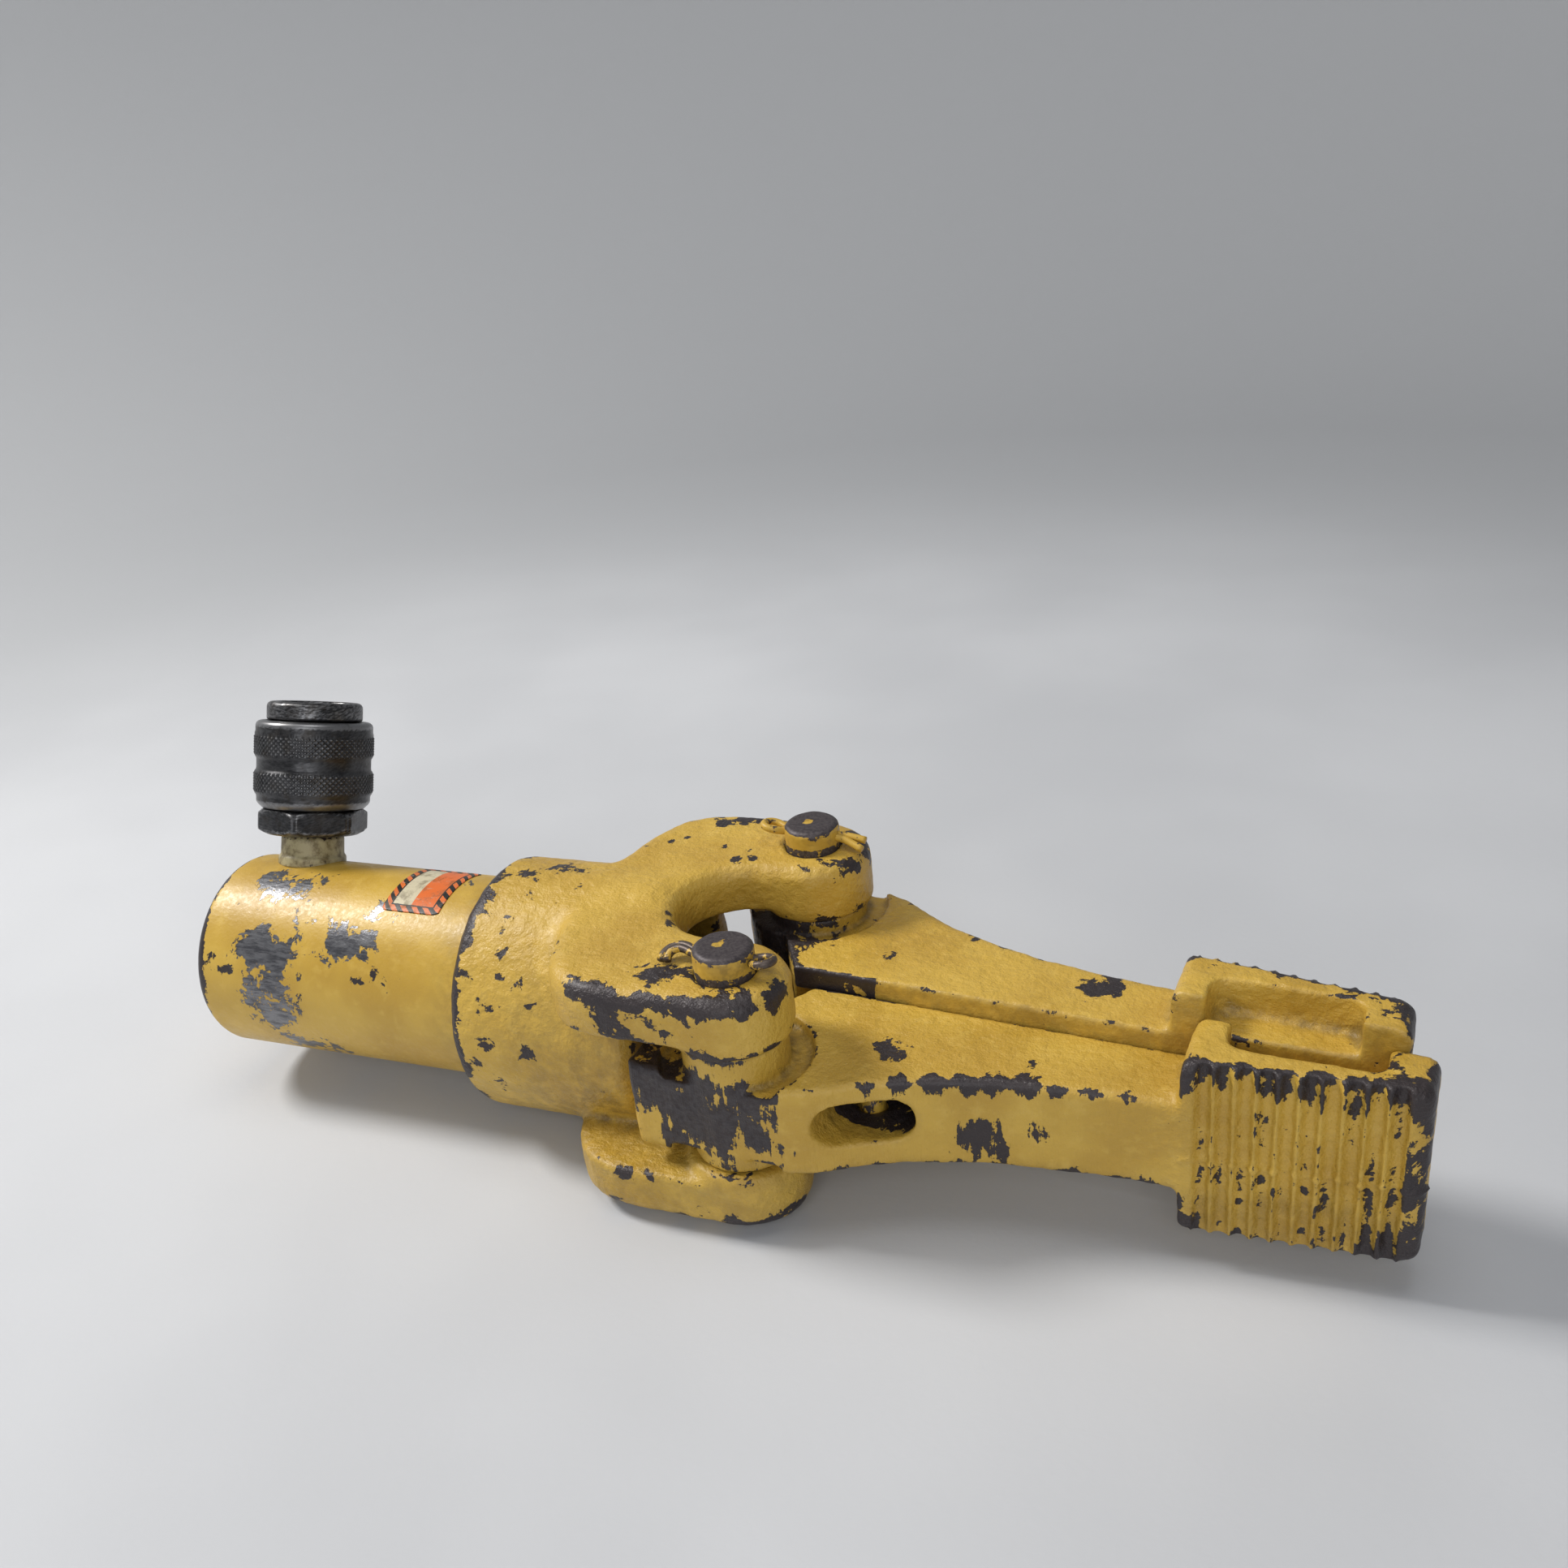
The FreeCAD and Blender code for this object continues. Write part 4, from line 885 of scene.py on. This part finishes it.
split_pin("near", [
    (-14.6, -1.4, -1.9), (-15.0, 0.2, -1.2), (-14.0, 1.6, -0.4), (-12.0, 2.0, 0.0), (-9.6, 0.9, 0.1),
    (-7.0, -0.75, 0.0), (0, -0.75, 0.0), (6.5, -0.75, 0.0), (8.2, -1.8, 0.2), (9.0, -3.4, 0.9),
    (11.0, -4.2, 1.6), (13.0, -3.2, 1.8), (13.6, -1.2, 1.5), (12.4, 0.7, 0.9), (10.2, 1.6, 0.3),
    (8.2, 0.9, 0.0), (6.5, 0.75, 0.0), (0, 0.75, 0.0), (-7.0, 0.75, 0.0), (-9.4, 2.3, 0.1),
    (-12.2, 3.7, 0.0), (-14.9, 3.0, -0.5), (-16.5, 0.9, -1.3), (-16.4, -1.2, -2.1)], NEAR_WIRE)
split_pin("far", [
    (15.2, -3.0, -2.2), (13.2, -2.2, -1.6), (10.0, -1.0, -0.7), (7.0, -0.75, -0.2), (0, -0.75, 0.0),
    (-6.5, -0.75, 0.3), (-8.3, -1.7, 0.9), (-9.6, -3.0, 1.6), (-11.8, -3.2, 2.1), (-13.6, -1.9, 2.3),
    (-13.9, 0.1, 2.1), (-12.8, 2.0, 1.7), (-10.6, 2.5, 1.1), (-8.6, 1.4, 0.7), (-6.5, 0.75, 0.3),
    (0, 0.75, 0.0), (7.0, 0.75, -0.2), (10.0, 0.7, -0.4), (13.0, 0.4, -0.7), (15.4, 0.2, -1.1)], FAR_WIRE)


# ---- hose coupler

COUPLER = Matrix.Translation((COUPLER_X, 0, 0)) @ Matrix.Rotation(COUPLER_LEAN, 4, "X")


def ring_wear(piece, gain, base):
    """Rub the edges of a coupler piece."""
    skin = Skin(piece)
    skin.save(np.clip(base + ramp(skin.convexity(4), 0.01, 0.16) * gain, 0, 1))


nipple = turned("port_nipple_painted", [
    (21.9, 4.5), (21.9, 8.5), (27.0, 8.5), (27.0, 9.9), (29.6, 9.9), (30.4, 9.2), (35.3, 9.2),
    (36.4, 8.6), (46.5, 8.5), (46.5, 4.5)], 128, COUPLER, 0.6)
skin = Skin(nipple)
own = (skin.co - np.array((COUPLER_X, 0, 0))) @ np.array(COUPLER.to_3x3())
height = own[:, 2]
skin.roughen(3.0, 0.12, 1.0 * (height > 28.0) * (height < 36.0), 6.0)
skin.save(0.15 + 0.45 * ramp(height, 34.5, 36.3) + 0.25 * ramp(-height, -30.5, -28.5))
finish_piece(nipple, "tool", "nipple_enamel", NIPPLE, "port_nipple")

HEX_HALF = 14.3
HEX_CORNER = 16.1
BODY_ROWS = [
    # height, radius, follows the hexagon
    (36.5, 8.7, 0), (36.5, 12.8, 0), (36.6, 13.4, 0), (37.3, 14.9, 1), (38.0, 15.9, 1),
    (38.9, 16.5, 1), (40.0, 16.5, 1), (41.0, 16.5, 1), (42.2, 16.5, 1), (43.0, 15.9, 1),
    (43.7, 15.0, 1), (44.2, 14.2, 1), (44.4, 13.4, 0), (44.45, 12.9, 0), (46.0, 12.9, 0),
    (70.7, 13.0, 0), (70.9, 13.5, 0), (71.2, 13.85, 0), (71.8, 13.9, 0), (74.6, 13.9, 0),
    (75.3, 13.8, 0), (75.9, 13.45, 0), (76.25, 12.9, 0), (76.4, 12.3, 0), (76.4, 11.4, 0),
    (76.25, 10.9, 0), (75.9, 10.65, 0), (72.6, 10.25, 0), (72.4, 10.1, 0), (72.4, 9.0, 0),
    (52.5, 9.0, 0), (52.5, 4.0, 0), (46.7, 4.0, 0), (46.7, 8.6, 0)]


def body_radius(angles, row):
    _, radius, hexed = BODY_ROWS[row]
    if not hexed:
        return radius
    turn = (angles + math.radians(12)) % (math.pi / 3) - math.pi / 6
    flat = HEX_HALF / np.cos(turn)
    soft = HEX_CORNER - 0.35 * np.maximum(0, flat - 15.7)
    return np.minimum(np.minimum(flat, soft), radius)


body = lathe("coupler_hex_body", body_radius, [r[0] for r in BODY_ROWS], 288, COUPLER)
ring_wear(body, 0.45, 0.05)
finish_piece(body, "tool", "blackened_steel", BLACK_STEEL, "coupler_body")

KNURL_AROUND = 66
KNURL_PITCH = 2 * math.pi * 17.4 / KNURL_AROUND
KNURL_FADE = 0.35
KNURL_BANDS = ((49.15, 55.25), (60.2, 66.3))
SLEEVE_EDGE = [(44.5, 13.95), (44.5, 14.9), (44.9, 15.3), (45.6, 16.0), (46.2, 16.4), (46.7, 16.5),
               (47.6, 16.5), (48.3, 16.6), (48.8, 17.0)]
SLEEVE_TOP = [(67.0, 17.2), (67.5, 17.0), (69.2, 17.0), (69.9, 16.75), (70.4, 16.2), (70.65, 15.5),
              (70.7, 14.8), (70.7, 13.95)]
sleeve_rows = list(SLEEVE_EDGE)
for low, high in KNURL_BANDS:
    sleeve_rows += [(h, 17.3) for h in np.arange(low, high + 0.01, 0.22)]
    if high < 60:
        sleeve_rows += [(high + 0.35, 17.0), (high + 0.7, 16.7), (high + 1.3, 16.62),
                        (high + 3.6, 16.62), (high + 4.25, 16.7), (high + 4.6, 17.0)]
sleeve_rows += SLEEVE_TOP


def sleeve_radius(angles, row):
    height, radius = sleeve_rows[row]
    for low, high in KNURL_BANDS:
        if low - 0.01 <= height <= high + 0.01:
            a = angles * KNURL_AROUND / (2 * math.pi)
            h = (height - low) / (KNURL_PITCH * 0.95)
            one = np.abs((a + h) % 1.0 - 0.5) * 2
            two = np.abs((a - h) % 1.0 - 0.5) * 2
            fade = min(1.0, (height - low) / KNURL_FADE, (high - height) / KNURL_FADE)
            radius += 0.42 * np.minimum(one, two) * max(fade, 0.0) - 0.22
    return np.minimum(radius, 17.5)


sleeve = lathe("coupler_knurled_sleeve", sleeve_radius, [r[0] for r in sleeve_rows], 528, COUPLER)
ring_wear(sleeve, 0.75, 0.0)
finish_piece(sleeve, "sleeve", "blackened_steel", BLACK_STEEL, "coupler_sleeve")

poppet_seat = COUPLER @ Vector((0, 0, 53.2))
coil = helix(poppet_seat, COUPLER @ Vector((0, 0, 60.2)), 5.2, 4.5, 14, 0.2)
poppet_coil = wire("poppet_spring_coil", coil, 0.55, 3)
finish_piece(poppet_coil, "tool", "spring_steel", SPRING, "poppet_spring")
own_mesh(poppet_coil)


# ---- springs and posts

draw_coil = wire("return_spring_coil", helix((27.6, 0, 0), (82.4, 0, 0), 8.0, 17, 12, 0.8), 1.2, 3)
draw_coil.data.materials.append(SPRING)
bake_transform(draw_coil)
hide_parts("return_spring")

POST = Vector((30.5, 12.0, -MID_DROP))
HOOK_RADIUS = 3.0
middle = (jaw_frame("near") @ POST + jaw_frame("far") @ POST) / 2


def make_post(side):
    place = jaw_frame(side) @ Matrix.Translation(POST)
    piece = turned("spring_post_%s_turned" % side, [
        (-11.0, 0.3), (-11.0, 3.15), (-3.2, 3.15), (-2.2, 2.35), (2.2, 2.35), (3.2, 3.15),
        (11.0, 3.15), (11.0, 0.3)], 48, place, 0.5, False)
    store(piece.data, "wear", 0.42)
    finish_piece(piece, side + "_jaw", "pin_steel", PIN, "spring_post_" + side)


for side in SIDES:
    make_post(side)


def half_spring(side):
    """Half of the draw-together spring with its hook round the post."""
    post = jaw_frame(side) @ POST
    toward = (middle - post).normalized()
    across = toward.cross(Vector((0, 0, 1))).normalized()
    points = []
    for degrees in range(-20, 241, 26):
        angle = math.radians(degrees)
        points.append(post - toward * HOOK_RADIUS * math.cos(angle)
                      + across * HOOK_RADIUS * math.sin(angle))
    coil = helix(post + toward * 5.6, middle, 2.55, 11, 12, 0.35)
    piece = wire("jaw_spring_half_" + side, points[::-1] + coil, 0.72, 3)
    piece.data.materials.append(BRASSY)
    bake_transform(piece)
    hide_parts("jaw_return_spring")


for side in SIDES:
    half_spring(side)


# ---- decal

DECAL_START = 59.0
DECAL_LENGTH = 19.0
DECAL_LOW = 65.0  # degrees from the near side up over the top
DECAL_SWEEP = 52.0


def torn_edge(rng, count, depth):
    """A smooth random line of `count` values."""
    width = 7
    return np.convolve(rng.uniform(-1, 1, count + width - 1), np.ones(width) / width, "valid") * depth


def make_decal():
    """A thin torn-edged film wrapped on the ram."""
    rng = np.random.default_rng(41)
    columns, rows = 44, 60
    inner, outer = BARREL_RADIUS + 0.05, BARREL_RADIUS + 0.19
    tear_low = torn_edge(rng, columns + 1, 0.9)
    tear_high = torn_edge(rng, columns + 1, 2.0)
    points, along, round_ = [], [], []
    for layer in (outer, inner):
        for i in range(columns + 1):
            u = i / columns
            corner = 1.6 * max(0.0, 1 - min(u, 1 - u) / 0.1) ** 2
            first = DECAL_LOW + 0.6 + corner + abs(tear_low[i])
            last = DECAL_LOW + DECAL_SWEEP - 0.6 - corner - abs(tear_high[i])
            for j in range(rows + 1):
                v = j / rows
                angle = math.radians(first + (last - first) * v)
                points.append((DECAL_START + 0.15 + (DECAL_LENGTH - 0.3) * u,
                               -layer * math.cos(angle), layer * math.sin(angle)))
                along.append(u)
                round_.append(v)
    step = rows + 1
    offset = (columns + 1) * step
    faces = []
    for i in range(columns):
        for j in range(rows):
            a, b, c, d = i * step + j, (i + 1) * step + j, (i + 1) * step + j + 1, i * step + j + 1
            faces.append((a, b, c, d))
            faces.append((offset + d, offset + c, offset + b, offset + a))
    border = [i * step for i in range(columns + 1)]
    border += [columns * step + j for j in range(1, rows + 1)]
    border += [i * step + rows for i in range(columns - 1, -1, -1)]
    border += [j for j in range(rows - 1, 0, -1)]
    for a, b in zip(border, border[1:] + border[:1]):
        faces.append((b, a, offset + a, offset + b))
    piece = new_piece("safety_decal_film", points, faces)
    store(piece.data, "along", along)
    store(piece.data, "round", round_)
    finish_piece(piece, "tool", "decal_film", DECAL, "safety_decal")


make_decal()


# ---- stage, light, camera

def make_stage():
    """A pale floor that sweeps up into a round backdrop."""
    ground = cad_low.z / MM - 0.05
    middle_x, flat, sweep, steps = 170.0, 850, 450, 128
    profile = [(300, 0), (600, 0), (flat, 0)]
    for degrees in range(10, 91, 10):
        angle = math.radians(degrees)
        profile.append((flat + sweep * math.sin(angle), sweep * (1 - math.cos(angle))))
    profile += [(flat + sweep, 1000), (flat + sweep, 1700)]
    points = [(middle_x, 0.0, ground)]
    for reach, rise in profile:
        for i in range(steps):
            angle = 2 * math.pi * i / steps
            points.append((middle_x + reach * math.cos(angle), reach * math.sin(angle), ground + rise))
    faces = [(0, 1 + i, 1 + (i + 1) % steps) for i in range(steps)]
    for row in range(len(profile) - 1):
        here, there = 1 + row * steps, 1 + (row + 1) * steps
        for i in range(steps):
            j = (i + 1) % steps
            faces.append((here + i, there + i, there + j, here + j))
    floor = new_piece("stage_floor", points, faces)
    g = Graph("pale_studio_sheet")
    cloud = g.noise(180.0, 3.0, 0.5)
    centred = g.node("Mapping", {"Vector": g.place, "Location": (-0.17, 0, 0)}).outputs[0]
    reach = g.node("VectorMath", {0: centred}, operation="LENGTH").outputs["Value"]
    pale = g.mix(g.step(cloud, 0.3, 0.7), (0.53, 0.54, 0.56, 1), (0.60, 0.61, 0.63, 1))
    colour = g.mix(g.step(reach, 0.34, 0.75), pale, (0.42, 0.43, 0.445, 1))
    g.surface(Base_Color=colour, Roughness=0.75, Normal=g.bump(g.noise(2.5, 2.0, shift=1.0), 0.05))
    floor.data.materials.append(g.material)
    floor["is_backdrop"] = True


make_stage()

CENTRE = Vector((0.17, 0.0, 0.0))


def area_light(name, place, size, power, colour=(1, 1, 1)):
    """A round soft light aimed at the middle of the tool."""
    lamp = bpy.data.lights.new(name, "AREA")
    lamp.shape = "DISK"
    lamp.size = size
    lamp.energy = power
    lamp.color = colour
    holder = add_object(name, lamp)
    holder.location = place
    holder.rotation_mode = "QUATERNION"
    holder.rotation_quaternion = (CENTRE - Vector(place)).to_track_quat("-Z", "Y")


area_light("key_light", (-0.85, -0.02, 1.05), 0.36, 16.5, (1.0, 0.98, 0.95))
area_light("top_light", (0.25, -0.05, 1.25), 0.8, 3.2)
area_light("front_fill", (0.45, -1.0, 0.55), 0.9, 4.2, (0.97, 0.98, 1.0))

world = bpy.data.worlds.new("soft_room")
world.use_nodes = True
sky = world.node_tree.nodes["Background"]
sky.inputs["Color"].default_value = (0.86, 0.88, 0.92, 1)
sky.inputs["Strength"].default_value = 0.22
bpy.context.scene.world = world
bpy.context.scene.view_settings.view_transform = "Standard"

camera_data = bpy.data.cameras.new("camera")
camera_data.lens = 33.33
camera_data.sensor_width = 36.0
camera_data.clip_start = 0.01
camera_data.clip_end = 20.0
camera = add_object("camera", camera_data)
turn = Matrix(((0.9337, -0.0634, 0.3524), (0.3440, 0.4319, -0.8337), (-0.0993, 0.8997, 0.4251)))
camera.matrix_world = (Matrix.Translation((0.3076, -0.2991, 0.2210))
                       @ turn.to_quaternion().normalized().to_matrix().to_4x4())
bpy.context.scene.camera = camera

low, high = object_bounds()
